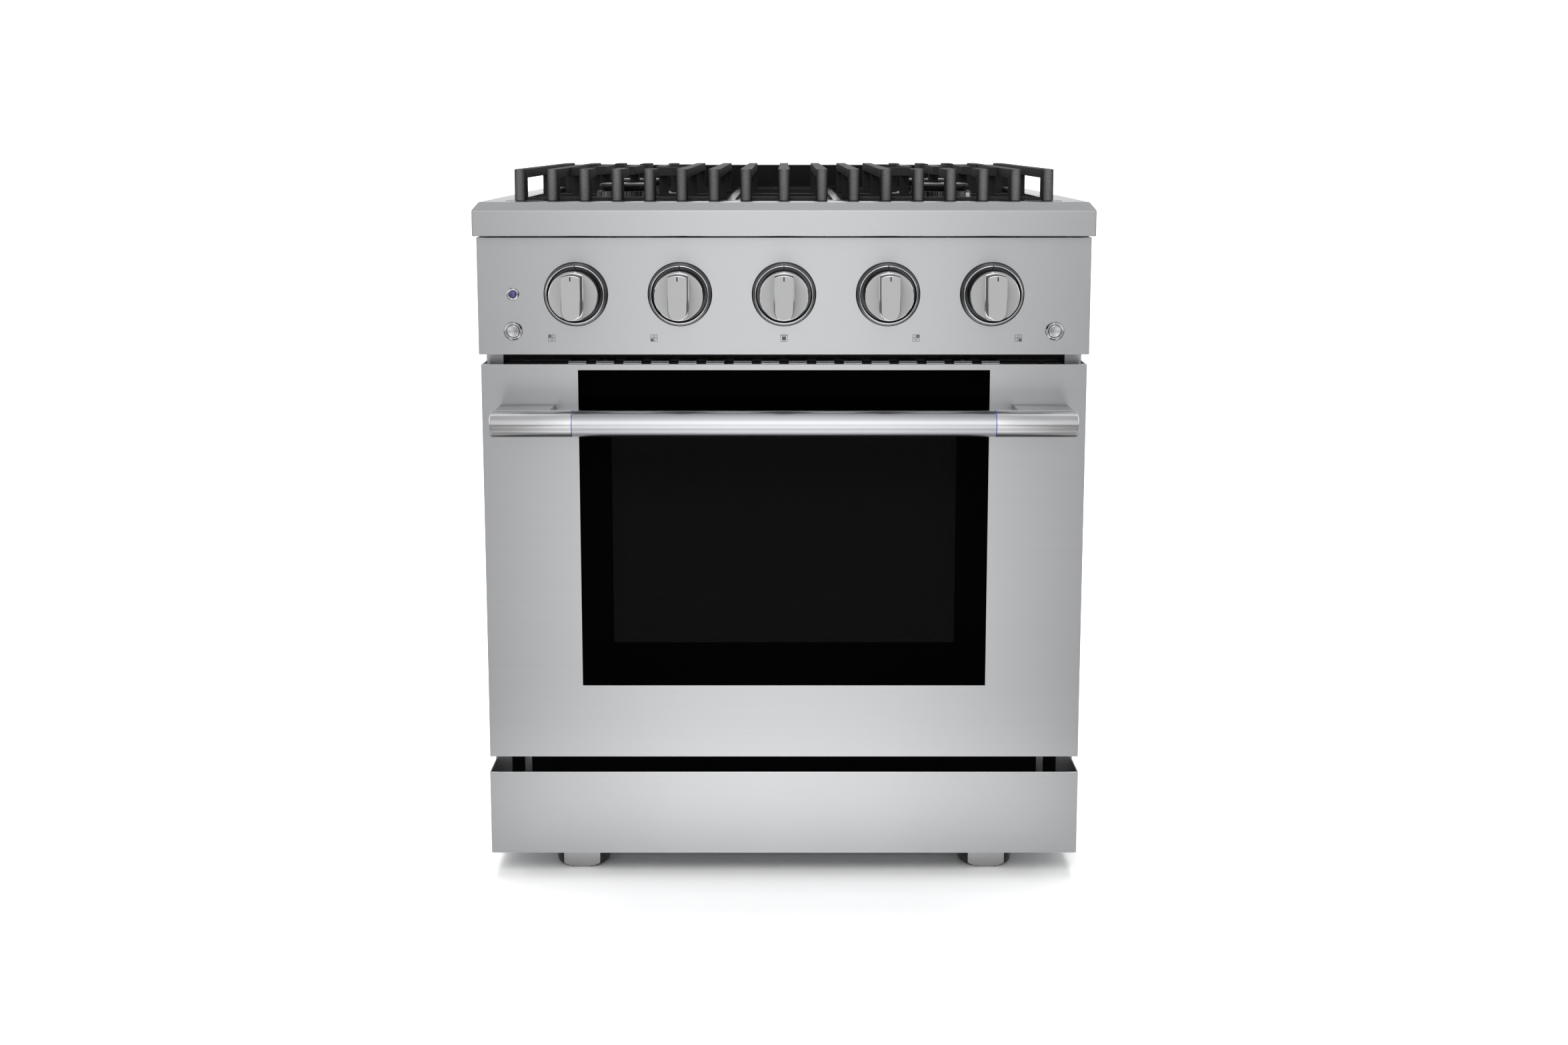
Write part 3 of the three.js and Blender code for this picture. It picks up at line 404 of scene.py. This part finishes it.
class Shape:
    """Collects solids, in metres, and makes one piece of them."""

    def __init__(self):
        self.bm = bmesh.new()

    def _finish(self, faces, bevel, segments):
        bmesh.ops.recalc_face_normals(self.bm, faces=faces)
        if bevel:
            self.bm.normal_update()
            edges = dict.fromkeys(e for f in faces for e in f.edges)  # once each, in the same order every run
            sharp = [e for e in edges if len(e.link_faces) == 2 and e.calc_face_angle(0) > SHARP]
            bmesh.ops.bevel(self.bm, geom=sharp, offset=bevel, segments=segments, profile=0.5,
                            affect="EDGES", clamp_overlap=True)

    def lathe(self, outline, at, axis="y", sides=72, ripple=None):
        """Turns a closed outline of (radius, along) round an axis. ripple(side, radius) changes a radius."""
        rings = []
        for radius, along in outline:
            if radius == 0:
                ring = [self.bm.verts.new(self._on(axis, 0, along, 0, at))] * sides
            else:
                ring = []
                for k in range(sides):
                    r = ripple(k, radius) if ripple else radius
                    ring.append(self.bm.verts.new(self._on(axis, r, along, 2 * math.pi * k / sides, at)))
            rings.append(ring)
        faces = []
        for a, b in zip(rings, rings[1:] + rings[:1]):
            for k in range(sides):
                corners = [a[k], a[(k + 1) % sides], b[(k + 1) % sides], b[k]]
                unique = list(dict.fromkeys(corners))
                if len(unique) > 2:
                    faces.append(self.bm.faces.new(unique))
        self._finish(faces, 0, 0)
        return self

    @staticmethod
    def _on(axis, radius, along, angle, at):
        u, v = radius * math.cos(angle), radius * math.sin(angle)
        point = {"x": (along, u, v), "y": (u, along, v), "z": (u, v, along)}[axis]
        return Vector(point) + Vector(at)

    def box(self, low, high, bevel=0.0, segments=2):
        corners = [Vector((x, y, z)) for x in (low[0], high[0]) for y in (low[1], high[1])
                   for z in (low[2], high[2])]
        v = [self.bm.verts.new(c) for c in corners]
        sides = ((0, 1, 3, 2), (4, 6, 7, 5), (0, 4, 5, 1), (2, 3, 7, 6), (0, 2, 6, 4), (1, 5, 7, 3))
        self._finish([self.bm.faces.new([v[i] for i in s]) for s in sides], bevel, segments)
        return self

    def prism(self, outline, y0, y1, at=(0, 0, 0), bevel=0.0, segments=3, plane="xz"):
        """Pushes an outline in x and z along y, or with plane yz one in y and z along x."""
        def point(a, b, along):
            return Vector((a, along, b) if plane == "xz" else (along, a, b)) + Vector(at)
        low = [self.bm.verts.new(point(a, b, y0)) for a, b in outline]
        high = [self.bm.verts.new(point(a, b, y1)) for a, b in outline]
        faces = [self.bm.faces.new(low), self.bm.faces.new(high[::-1])]
        for k in range(len(low)):
            n = (k + 1) % len(low)
            faces.append(self.bm.faces.new((low[k], low[n], high[n], high[k])))
        self._finish(faces, bevel, segments)
        return self

    def tube(self, path, radius, sides=12, closed=False):
        """A round bar along points, with flat ends unless closed."""
        points = [Vector(p) for p in path]
        count = len(points)
        rings, last = [], None
        for k, p in enumerate(points):
            before = points[k - 1] if k or closed else p
            after = points[(k + 1) % count] if k < count - 1 or closed else p
            along = (after - before).normalized()
            side = last - along * last.dot(along) if last else along.orthogonal()
            last = side.normalized()
            up = along.cross(last)
            rings.append([self.bm.verts.new(p + radius * (last * math.cos(t) + up * math.sin(t)))
                          for t in (2 * math.pi * s / sides for s in range(sides))])
        faces = []
        if closed:
            first = rings[0]
            turn = min(range(sides), key=lambda s: (first[s].co - rings[-1][0].co).length)
            rings.append(first[turn:] + first[:turn])
        for a, b in zip(rings, rings[1:]):
            for s in range(sides):
                n = (s + 1) % sides
                faces.append(self.bm.faces.new((a[s], a[n], b[n], b[s])))
        if not closed:
            faces += [self.bm.faces.new(rings[0]), self.bm.faces.new(rings[-1][::-1])]
        self._finish(faces, 0, 0)
        return self

    def make(self, name, look, body, slot=None, stands_for=(), sharp=35, origin=None):
        """The piece, smooth apart from edges sharper than the angle. origin moves its object's origin."""
        if origin is not None:
            bmesh.ops.translate(self.bm, verts=self.bm.verts, vec=-Vector(origin))
        self.bm.normal_update()
        for edge in self.bm.edges:
            edge.smooth = len(edge.link_faces) == 2 and edge.calc_face_angle(0) < math.radians(sharp)
        for face in self.bm.faces:
            face.smooth = True
        mesh = bpy.data.meshes.new(name)
        self.bm.to_mesh(mesh)
        self.bm.free()
        mesh.materials.append(look)
        piece = bpy.data.objects.new(name, mesh)
        bpy.context.scene.collection.objects.link(piece)
        if origin is not None:
            piece.location = origin
        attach(piece, body)
        if stands_for:
            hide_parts(*stands_for)
        return piece


def mm(outline):
    """An outline given in millimetres, in metres."""
    return [(r * MM, a * MM) for r, a in outline]


def centre(node):
    low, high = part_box(node)
    return (low + high) / 2


def arc(cx, cz, radius, start, end, steps):
    """Points on an arc, angles in degrees."""
    angles = (math.radians(start + (end - start) * k / steps) for k in range(steps + 1))
    return [(cx + radius * math.cos(a), cz + radius * math.sin(a)) for a in angles]


# ---------------------------------------------------------------- knobs, bezels, buttons and lamp
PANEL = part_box("control_panel")[0].y
KNOB = {"radius": 30.2, "back": 3, "face": 33, "grip": 60, "half": 11.75, "reach": 27.4}
BEZEL = {"bore": 34.0, "depth": 13}
ROUND = 128  # sides of the turned pieces that show most


def bezel(number):
    """A dark skirt, a polished lip round the knob, and the off mark in two parts."""
    at = centre(f"knob_bezel_{number}")
    place = (at.x, PANEL, at.z)
    depth = -BEZEL["depth"]
    skirt = mm([(8, -0.3), (39.3, -0.3), (39.3, -1.6), (38.9, -2.6), (36.9, depth + 1.4),
                (36.4, depth + 0.9), (34.6, depth + 0.9), (34.4, -3.4), (33.6, -2.2), (8, -2.2)])
    rim = mm([(39.2, -0.35), (40, -0.35), (40, -1.0), (39.8, -1.5), (39.2, -1.8)])
    Shape().lathe(skirt, place, sides=ROUND).lathe(rim, place, sides=ROUND).make(
        f"bezel_skirt_{number}", DARK_CHROME, "range_body", "dark_chrome",
        [f"knob_bezel_{number}"], sharp=30, origin=place)
    lip = mm([(36.4, depth + 1.2), (36.5, depth + 0.6), (36.2, depth + 0.1), (35.6, depth - 0.2),
              (34.8, depth - 0.2), (34.2, depth + 0.2), (BEZEL["bore"], depth + 0.8),
              (BEZEL["bore"], depth + 4), (34.5, depth + 4), (34.5, depth + 1.2)])
    Shape().lathe(lip, place, sides=ROUND).make(
        f"bezel_lip_{number}", CHROME, "range_body", "polished_chrome", sharp=50, origin=place)
    y = PANEL + depth * MM
    x0, x1 = at.x - 0.5 * MM, at.x + 0.5 * MM
    mark = Shape()
    mark.box((x0, y - 0.35 * MM, at.z + 33.8 * MM), (x1, y + 1 * MM, at.z + 36.6 * MM), 0.1 * MM)
    mark.box((x0, PANEL - 2.35 * MM, at.z + 31 * MM), (x1, PANEL - 2.1 * MM, at.z + 33.6 * MM))
    mark.make(f"bezel_mark_{number}", DARK, "range_body", "dark_chrome")


def grip_outline(inset=0.0):
    """The grip seen from the front: its top follows the knob, and its foot is a rounded U."""
    half, reach = KNOB["half"] - inset, KNOB["reach"] - inset
    rise = math.sqrt(reach**2 - half**2)
    top_angle = math.degrees(math.atan2(rise, half))
    foot = rise * 0.55
    points = arc(0, 0, reach, top_angle, 180 - top_angle, 12)
    corner = ((-half, -foot), (-half, -reach), (0, -reach))
    mirrored = [(-x, z) for x, z in reversed(corner)]
    for a, b, c in (corner, mirrored):
        points += [bezier(a, b, c, k / 8) for k in range(1, 9)]
    return [(x * MM, z * MM) for x, z in points]


def bezier(a, b, c, t):
    return tuple((1 - t) ** 2 * p + 2 * t * (1 - t) * q + t * t * r for p, q, r in zip(a, b, c))


def knob(number):
    """Sides painted dark as shade, brushed plates on the disc and the grip, and a polished rim round each
    plate.
    """
    at = centre(f"knob_{number}")
    place = (at.x, PANEL, at.z)
    body, front, grip, radius = f"knob_{number}", -KNOB["face"], -KNOB["grip"], KNOB["radius"]
    disc = mm([(0, -KNOB["back"]), (29.4, -KNOB["back"]), (radius, -4), (radius, front + 1), (0, front + 1)])
    shape = Shape().lathe(disc, place, sides=ROUND)
    shape.lathe(mm([(0, -3.2), (3.5, -3.2), (3.5, 9.8), (0, 9.8)]), place, sides=24)
    shape.prism(grip_outline(), (grip + 0.9) * MM, (front + 1.3) * MM, place)
    shape.make(f"knob_finish_{number}", KNOB_SHADE, body, "satin_steel", [body], sharp=38, origin=place)
    rim = mm([(29.0, front + 1.2), (29.0, front + 0.05), (29.5, front + 0.05), (radius - 0.02, front + 0.6),
              (radius - 0.02, front + 1.2)])
    shape = Shape().lathe(rim, place, sides=ROUND)
    shape.prism(grip_outline(0.02), (grip + 0.05) * MM, (grip + 1.2) * MM, place, 0.55 * MM, 2)
    shape.prism(grip_outline(-1.1), (front - 0.4) * MM, (front + 0.4) * MM, place, 0.3 * MM, 2)
    shape.make(f"knob_rims_{number}", CHROME, body, "polished_chrome", sharp=38, origin=place)
    plate = mm([(0, front + 0.6), (29.2, front + 0.6), (29.2, front), (0, front)])
    shape = Shape().lathe(plate, place, sides=ROUND)
    shape.prism(grip_outline(0.8), grip * MM, (grip + 0.4) * MM, place)
    shape.make(f"knob_plates_{number}", KNOB_METAL, body, "satin_steel", sharp=38, origin=place)
    y = PANEL + grip * MM
    low = (at.x - 0.75 * MM, y - 0.06 * MM, at.z + 20.4 * MM)
    high = (at.x + 0.75 * MM, y + 0.4 * MM, at.z + 25.8 * MM)
    Shape().box(low, high, 0.05 * MM).make(f"knob_line_{number}", DARK, body, "dark_chrome")


for number in range(1, 6):
    bezel(number)
    knob(number)


def push_button(which):
    """A ring fixed to the panel, and a button with a raised edge and a dished face."""
    at = centre(f"{which}_button")
    place = (at.x, PANEL, at.z)
    ring = mm([(8.6, -0.3), (11.9, -0.3), (11.9, -1.0), (11.4, -1.9), (10.4, -3.2), (9.6, -3.9), (9.0, -4.0),
               (8.6, -3.7)])
    Shape().lathe(ring, place, sides=96).make(
        f"{which}_ring_finish", CHROME, "range_body", "polished_chrome", [f"{which}_button_ring"],
        sharp=60, origin=place)
    face = mm([(0, 8), (8, 8), (8, -4.6), (7.7, -5.2), (7.2, -5.55), (6.6, -5.6), (6.2, -5.1), (0, -4.6)])
    Shape().lathe(face, place, sides=96).make(
        f"{which}_button_finish", SPUN, f"{which}_button", "polished_chrome", [f"{which}_button"],
        sharp=40, origin=place)


def lamp():
    """A domed lens in a polished ring."""
    at = centre("indicator_lamp")
    place = (at.x, PANEL, at.z)
    rim = mm([(4.6, -0.3), (8, -0.3), (8, -1.3), (7.5, -2.2), (6.4, -2.9), (5.5, -3.0), (4.8, -2.4),
              (4.6, -1.8)])
    Shape().lathe(rim, place).make(
        "lamp_ring", CHROME, "range_body", "polished_chrome", sharp=60, origin=place)
    dome = mm([(0, 8), (2.6, 8), (2.6, -0.3), (4.55, -0.3), (4.55, -1.9), (4.0, -2.7), (2.8, -3.3),
               (1.4, -3.55), (0, -3.6)])
    Shape().lathe(dome, place).make(
        "lamp_lens_finish", LENS, "range_body", "lamp_glass", ["indicator_lamp"], sharp=40, origin=place)


push_button("light")
push_button("fan")
lamp()


# ---------------------------------------------------------------- printed symbols
SYMBOL = {"size": 8.8, "line": 0.5, "gap": 0.7, "z": 706.0}


def print_bar(shape, x0, z0, x1, z1):
    shape.box((x0 * MM, PANEL - 0.07 * MM, z0 * MM), (x1 * MM, PANEL + 0.05 * MM, z1 * MM))


def print_square(shape, x, z, size, filled):
    if filled:
        print_bar(shape, x, z, x + size, z + size)
        return
    line = SYMBOL["line"]
    print_bar(shape, x, z, x + size, z + line)
    print_bar(shape, x, z + size - line, x + size, z + size)
    print_bar(shape, x, z + line, x + line, z + size - line)
    print_bar(shape, x + size - line, z + line, x + size, z + size - line)


def burner_symbol(x, z, which):
    """A square for each of the four burners, with the knob's own burner filled."""
    shape = Shape()
    small = (SYMBOL["size"] - SYMBOL["gap"]) / 2
    step = small + SYMBOL["gap"]
    for column in (0, 1):
        for row in (0, 1):
            print_square(shape, x + column * step, z + row * step, small, (column, row) == which)
    return shape


def oven_symbol(x, z):
    """An oven's outline with its panel and its window."""
    shape = Shape()
    size = SYMBOL["size"]
    print_square(shape, x, z, size, False)
    print_bar(shape, x + 0.4, z + size - 1.6, x + size - 0.4, z + size - 1.1)
    print_bar(shape, x + 2, z + 1.6, x + size - 2, z + size - 2.4)
    return shape


for name, x, which in (("left_rear", -288.4, (0, 1)), ("left_front", -161.4, (0, 0)), ("oven", 0.0, None),
                       ("right_rear", 164.0, (1, 1)), ("right_front", 291.0, (1, 0))):
    left, low = x - SYMBOL["size"] / 2, SYMBOL["z"] - SYMBOL["size"] / 2
    made = burner_symbol(left, low, which) if which else oven_symbol(left, low)
    made.make(f"symbol_{name}", INK, "range_body", "dark_chrome")


# ---------------------------------------------------------------- handle
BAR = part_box("handle_bar")
BAR_AT = centre("handle_bar")
RADIUS = (BAR[1].z - BAR[0].z) / 2
HALF = BAR[1].x
POST = {"inner": 287, "half_height": 12.3}
bar_outline = [(RADIUS - 3 * MM, -HALF), (RADIUS - 0.4 * MM, -HALF), (RADIUS, -HALF + 0.4 * MM),
               (RADIUS, HALF - 0.4 * MM), (RADIUS - 0.4 * MM, HALF), (RADIUS - 3 * MM, HALF)]
Shape().lathe(bar_outline, BAR_AT, "x", ROUND).make(
    "handle_bar_finish", SATIN, "door", "satin_steel", ["handle_bar"], origin=BAR_AT)


def handle_end(side, sign):
    """A round cap on the bar's end, the flat post behind it in chrome painted dark as shade, and the blue
    seam between bar and cap.
    """
    low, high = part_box(f"handle_end_{side}")
    outer = max(abs(low.x), abs(high.x))
    inner = HALF + 0.3 * MM
    wall = RADIUS + 0.3 * MM
    edge = 3 * MM
    cap = [(0, inner), (wall - 0.3 * MM, inner), (wall, inner + 0.3 * MM), (wall, outer - edge)]
    for a in (0.35, 0.7, 1.05, 1.4):
        cap.append((wall - (1 - math.cos(a)) * edge, outer - (1 - math.sin(a)) * edge))
    cap.append((0, outer))
    Shape().lathe([(r, sign * a) for r, a in cap], BAR_AT, "x", ROUND).make(
        f"handle_end_{side}_finish", CAP_CHROME, "door", "polished_chrome", [f"handle_end_{side}"],
        origin=BAR_AT)
    x0, x1 = sorted((sign * POST["inner"] * MM, sign * (outer - 1 * MM)))
    tall = POST["half_height"] * MM
    low, high = (x0, BAR_AT.y, BAR_AT.z - tall), (x1, DOOR_FACE - 0.3 * MM, BAR_AT.z + tall)
    Shape().box(low, high, 1.2 * MM, 4).make(
        f"handle_post_{side}", POST_SHADE, "door", "polished_chrome", origin=BAR_AT)
    ends = (HALF - 0.5 * MM, HALF + 0.45 * MM)
    proud = RADIUS + 0.12 * MM
    seam = [(RADIUS - 2 * MM, ends[0]), (proud, ends[0]), (proud, ends[1]), (RADIUS - 2 * MM, ends[1])]
    Shape().lathe([(r, sign * a) for r, a in seam], BAR_AT, "x", ROUND).make(
        f"handle_seam_{side}", SEAM, "door", origin=BAR_AT)


handle_end("left", -1)
handle_end("right", 1)


# ---------------------------------------------------------------- door vents
PAN_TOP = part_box("door_inner_pan")[1].z
VENT = {"count": 16, "pitch": 35, "half": 11.4, "thick": 0.5}
VENT_BLADES = (((38.4, -1.5), (38.8, 0.2)), ((39.2, 1.5), (39.35, 2.1)))  # y and z of each edge
slats = Shape()
for index in range(VENT["count"]):
    x = (index - (VENT["count"] - 1) / 2) * VENT["pitch"] * MM
    for low, high in VENT_BLADES:
        back = [(y + VENT["thick"], z) for y, z in (high, low)]
        section = [(DOOR_FACE + y * MM, PAN_TOP + z * MM) for y, z in (low, high, *back)]
        slats.prism(section, x - VENT["half"] * MM, x + VENT["half"] * MM, plane="yz")
slats.make("door_vent_slats", SLAT, "door", "aluminised_steel")


# ---------------------------------------------------------------- screws
def screw(shape, at, facing, radius=4.2, height=1.8):
    """A pan-head screw whose head stands on the point at, facing -1 towards the front or 1 to the back."""
    outline = [(0, 0), (radius * MM, 0), (radius * MM, facing * 0.5 * height * MM),
               (radius * 0.8 * MM, facing * 0.85 * height * MM), (radius * 0.45 * MM, facing * height * MM),
               (radius * 0.4 * MM, facing * 0.6 * height * MM), (0, facing * 0.6 * height * MM)]
    shape.lathe(outline, at, sides=24)


FRAME_SCREWS = {"x": (-328, -228, -76, 76, 228, 328), "z": 669.5}
BACK_SCREWS = {"x": (-352, -176, 0, 176, 352), "z": (240, 430, 620), "edge": 14}

frame_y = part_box("front_frame")[0].y
dark_screws = Shape()
for x in FRAME_SCREWS["x"]:
    screw(dark_screws, (x * MM, frame_y, FRAME_SCREWS["z"] * MM), -1)
dark_screws.make("front_frame_screws", DARK, "range_body", "black_enamel")

back_low, back_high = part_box("back_panel")
back_screws = Shape()
for x in BACK_SCREWS["x"]:
    for z in (back_low.z + BACK_SCREWS["edge"] * MM, back_high.z - BACK_SCREWS["edge"] * MM):
        screw(back_screws, (x * MM, back_high.y, z), 1)
for z in BACK_SCREWS["z"]:
    for x in (BACK_SCREWS["x"][0], BACK_SCREWS["x"][-1]):
        screw(back_screws, (x * MM, back_high.y, z * MM), 1)
back_screws.make("back_panel_screws", ZINC, "range_body", "galvanised_sheet")


# ---------------------------------------------------------------- legs
LEG = {"sides": 144, "flat": 26}


def flattened(side, radius):
    """The radius at one side of a foot, cut back by the two spanner flats."""
    turn = 2 * math.pi * side / LEG["sides"]
    return min(radius, LEG["flat"] * MM / max(abs(math.sin(turn)), 0.01))


for end in ("front", "rear"):
    for side in ("left", "right"):
        node = f"leg_{end}_{side}"
        low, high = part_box(node)
        at = ((low.x + high.x) / 2, (low.y + high.y) / 2, 0)
        foot = mm([(0, 0), (26.6, 0), (27.6, 0.3), (31, 1.8), (33.4, 3.6), (34.5, 5), (35, 7), (35, 34),
                   (34.6, 35.3), (33.6, 36), (12, 36), (12, 44), (0, 44)])
        Shape().lathe(foot, at, "z", LEG["sides"], flattened).make(
            f"{node}_finish", FOOT_CHROME, "range_body", "polished_chrome", [node], sharp=20, origin=at)


# ---------------------------------------------------------------- oven racks
RACK = {"rim": 3, "middle": 2.5, "wire": 2.1, "bend": 22, "pitch": 42, "each_side": 6}


def rack(node):
    """A bent rim, a cross bar, and wires that lie on them and turn down at their ends."""
    low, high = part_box(node)
    r, bend = RACK["rim"] * MM, RACK["bend"] * MM
    z = low.z + r
    x0, x1, y0, y1 = low.x + r, high.x - r, low.y + r, high.y - r
    corners = ((x1 - bend, y1 - bend, 0), (x0 + bend, y1 - bend, 90), (x0 + bend, y0 + bend, 180),
               (x1 - bend, y0 + bend, 270))
    loop = [(x, y, z) for cx, cy, start in corners for x, y in arc(cx, cy, bend, start, start + 90, 6)]
    shape = Shape().tube(loop, r, 12, closed=True)
    middle = (y0 + y1) / 2
    shape.tube([(x0, middle, z), (x1, middle, z)], RACK["middle"] * MM)
    end = ((0, 1.2), (1, 3), (6, 3.2))  # in from the rim, and up
    profile = [(y0 + a * MM, b * MM) for a, b in end] + [(y1 - a * MM, b * MM) for a, b in reversed(end)]
    for k in range(-RACK["each_side"], RACK["each_side"] + 1):
        x = k * RACK["pitch"] * MM
        shape.tube([(x, y, z + up) for y, up in profile], RACK["wire"] * MM, 10)
    shape.make(f"{node}_finish", RACK_CHROME, "range_body", "rack_chrome", [node])


rack("rack_lower")
rack("rack_upper")


# ---------------------------------------------------------------- burners
PORTS = {"sides": 144, "inner": 36, "outer": 40, "depth": 1.7}
IGNITER = {"x": 32, "y": -32, "z": -13}


def ports(side, radius):
    """The radius at one side of a burner's head, with a port in every other pair of sides."""
    in_head = PORTS["inner"] * MM < radius < PORTS["outer"] * MM
    return radius - PORTS["depth"] * MM if in_head and side % 4 >= 2 else radius


def burner(place):
    """The base with its ports, the cap, and the igniter beside them."""
    low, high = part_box(f"burner_base_{place}")
    at = ((low.x + high.x) / 2, (low.y + high.y) / 2, high.z)
    base = mm([(0, -44), (20, -44), (20, -14), (51, -14), (52, -13.2), (52, -12), (50, -11.4), (44, -10.4),
               (41, -9.2), (39.6, -7.6), (39.4, -6.6), (38.9, -0.6), (38.2, 0), (0, 0)])
    Shape().lathe(base, at, "z", PORTS["sides"], ports).make(
        f"burner_base_{place}_finish", CAST_ALUMINIUM, "range_body", "cast_aluminium",
        [f"burner_base_{place}"], sharp=28, origin=at)
    cap = mm([(0, 0.3), (32, 0.3), (34.6, 3.4), (36, 5.6), (36.2, 6.8), (35.6, 8.2), (34.2, 9.2), (31, 9.9),
              (27, 9.7), (25.5, 9.2), (22, 9.1), (8, 10.2), (0, 10.3)])
    Shape().lathe(cap, at, "z", 96).make(
        f"burner_cap_{place}_finish", CAP_IRON, "range_body", "cast_iron", [f"burner_cap_{place}"],
        sharp=40, origin=at)
    tip = tuple(a + IGNITER[axis] * MM for a, axis in zip(at, "xyz"))
    stem = mm([(0, 0), (3.4, 0), (3.4, 2), (2.6, 3), (2.6, 10), (2.0, 11), (0, 11)])
    Shape().lathe(stem, tip, "z", 24).make(f"igniter_{place}", CERAMIC, "range_body")
    pin = mm([(0, 10.8), (0.8, 10.8), (0.8, 14), (0, 14.4)])
    Shape().lathe(pin, tip, "z", 16).make(f"igniter_pin_{place}", RACK_CHROME, "range_body")


for place in ("left_front", "left_rear", "right_front", "right_rear"):
    burner(place)


# ---------------------------------------------------------------- floor, sky and lights
# near and far are the white that the camera sees. stops go by direction, from an axis towards a diagonal.
# gain goes by distance and side by distance sideways, as shares of reach in metres.
FLOOR = {
    "near": 1.45, "far": 2.4, "lead": 1.9, "reach": 8.0, "level": 1.3,
    "stops": ((0.0, 1.0), (0.06, 0.95), (0.14, 0.66), (0.2, 0.3), (0.5, 0.3)),
    "side": ((0.08, 1.0), (0.12, 0.66), (0.4, 0.7), (0.8, 1.0)),
    "gain": ((0.0, 0.8), (0.05, 0.9), (0.085, 1.04), (0.11, 0.52), (0.15, 0.55), (0.2, 0.77), (0.8, 1.02)),
}


def make_floor():
    """White to the camera. In reflections it is dimmer at some distances and away from the object's axes."""
    bpy.ops.mesh.primitive_plane_add(size=60)
    floor = bpy.context.object
    floor.name = "floor"
    made = bpy.data.materials.new("floor")
    made.use_nodes = True
    g = Graph(made.node_tree)
    made.node_tree.nodes.remove(made.node_tree.nodes["Principled BSDF"])
    x, y = g.axes(g.coords())[:2]
    ax, ay = g.math("ABSOLUTE", x, 0), g.math("ABSOLUTE", y, 0)
    far = g.math("MAXIMUM", ax, ay)
    share = g.math("DIVIDE", g.math("MINIMUM", ax, ay), g.math("ADD", far, FLOOR["lead"]))
    away = g.math("DIVIDE", far, FLOOR["reach"])
    beside = g.ramp(g.math("DIVIDE", ax, FLOOR["reach"]), *FLOOR["side"])
    gain = g.mix(1.0, g.math("MULTIPLY", g.ramp(away, *FLOOR["gain"]), FLOOR["level"]), beside, "MULTIPLY")
    near_white, far_white = ((FLOOR[k],) * 3 for k in ("near", "far"))
    white = g.mix(g.math("MINIMUM", away, 1.0), near_white, far_white)
    seen = g.add("ShaderNodeBsdfDiffuse", {"Color": white})
    shaped = g.mix(1.0, g.ramp(share, *FLOOR["stops"]), gain, "MULTIPLY")
    lit = g.add("ShaderNodeBsdfDiffuse", {"Color": shaped})
    ray = g.add("ShaderNodeLightPath").outputs["Is Camera Ray"]
    both = g.add("ShaderNodeMixShader", {0: ray, 1: lit.outputs[0], 2: seen.outputs[0]})
    g.tree.links.new(both.outputs[0], g.tree.nodes["Material Output"].inputs["Surface"])
    floor.data.materials.append(made)


# round goes by direction, from an axis to a diagonal, and high by height.
DOME = {
    "round": ((0.0, 1.0), (0.05, 0.94), (0.14, 0.56), (0.3, 0.34), (0.8, 0.3)),
    "high": ((0.0, 1.0), (0.45, 0.98), (0.75, 0.68), (0.95, 0.84)),
    "tint": (0.985, 0.99, 1.0), "strength": 1.65,
}


def make_world():
    """A dome: bright in front, behind and at the sides, dimmer between them and overhead."""
    world = bpy.data.worlds.new("studio")
    bpy.context.scene.world = world
    world.use_nodes = True
    g = Graph(world.node_tree)
    x, y, z = g.axes(g.add("ShaderNodeTexCoord").outputs["Generated"])[:3]
    ax, ay = g.math("ABSOLUTE", x, 0), g.math("ABSOLUTE", y, 0)
    share = g.math("DIVIDE", g.math("MINIMUM", ax, ay), g.math("ADD", g.math("MAXIMUM", ax, ay), 0.001))
    level = g.math("MULTIPLY", g.ramp(share, *DOME["round"]), g.ramp(z, *DOME["high"]))
    seen = g.add("ShaderNodeLightPath").outputs["Is Camera Ray"]
    colour = g.mix(seen, g.mix(1.0, level, DOME["tint"], "MULTIPLY"), (1.0, 1.0, 1.0))
    background = world.node_tree.nodes["Background"]
    g.put(background.inputs["Color"], colour)
    background.inputs["Strength"].default_value = DOME["strength"]


def softbox(name, at, target, size, power):
    """A rectangular lamp that lights surfaces but doesn't show in them."""
    data = bpy.data.lights.new(name, "AREA")
    data.shape = "RECTANGLE"
    data.size, data.size_y = size
    data.energy = power
    light = bpy.data.objects.new(name, data)
    light.location = at
    light.rotation_euler = (Vector(target) - Vector(at)).to_track_quat("-Z", "Y").to_euler()
    light.visible_glossy = False
    bpy.context.scene.collection.objects.link(light)


make_floor()
make_world()
softbox("key", (-0.9, -3.2, 3.0), (0, 0, 0.5), (2.2, 1.6), 50)
softbox("top", (0, 0.45, 3.4), (0, 0, 0.5), (2.4, 1.6), 80)
bpy.context.scene.view_settings.view_transform = "Standard"
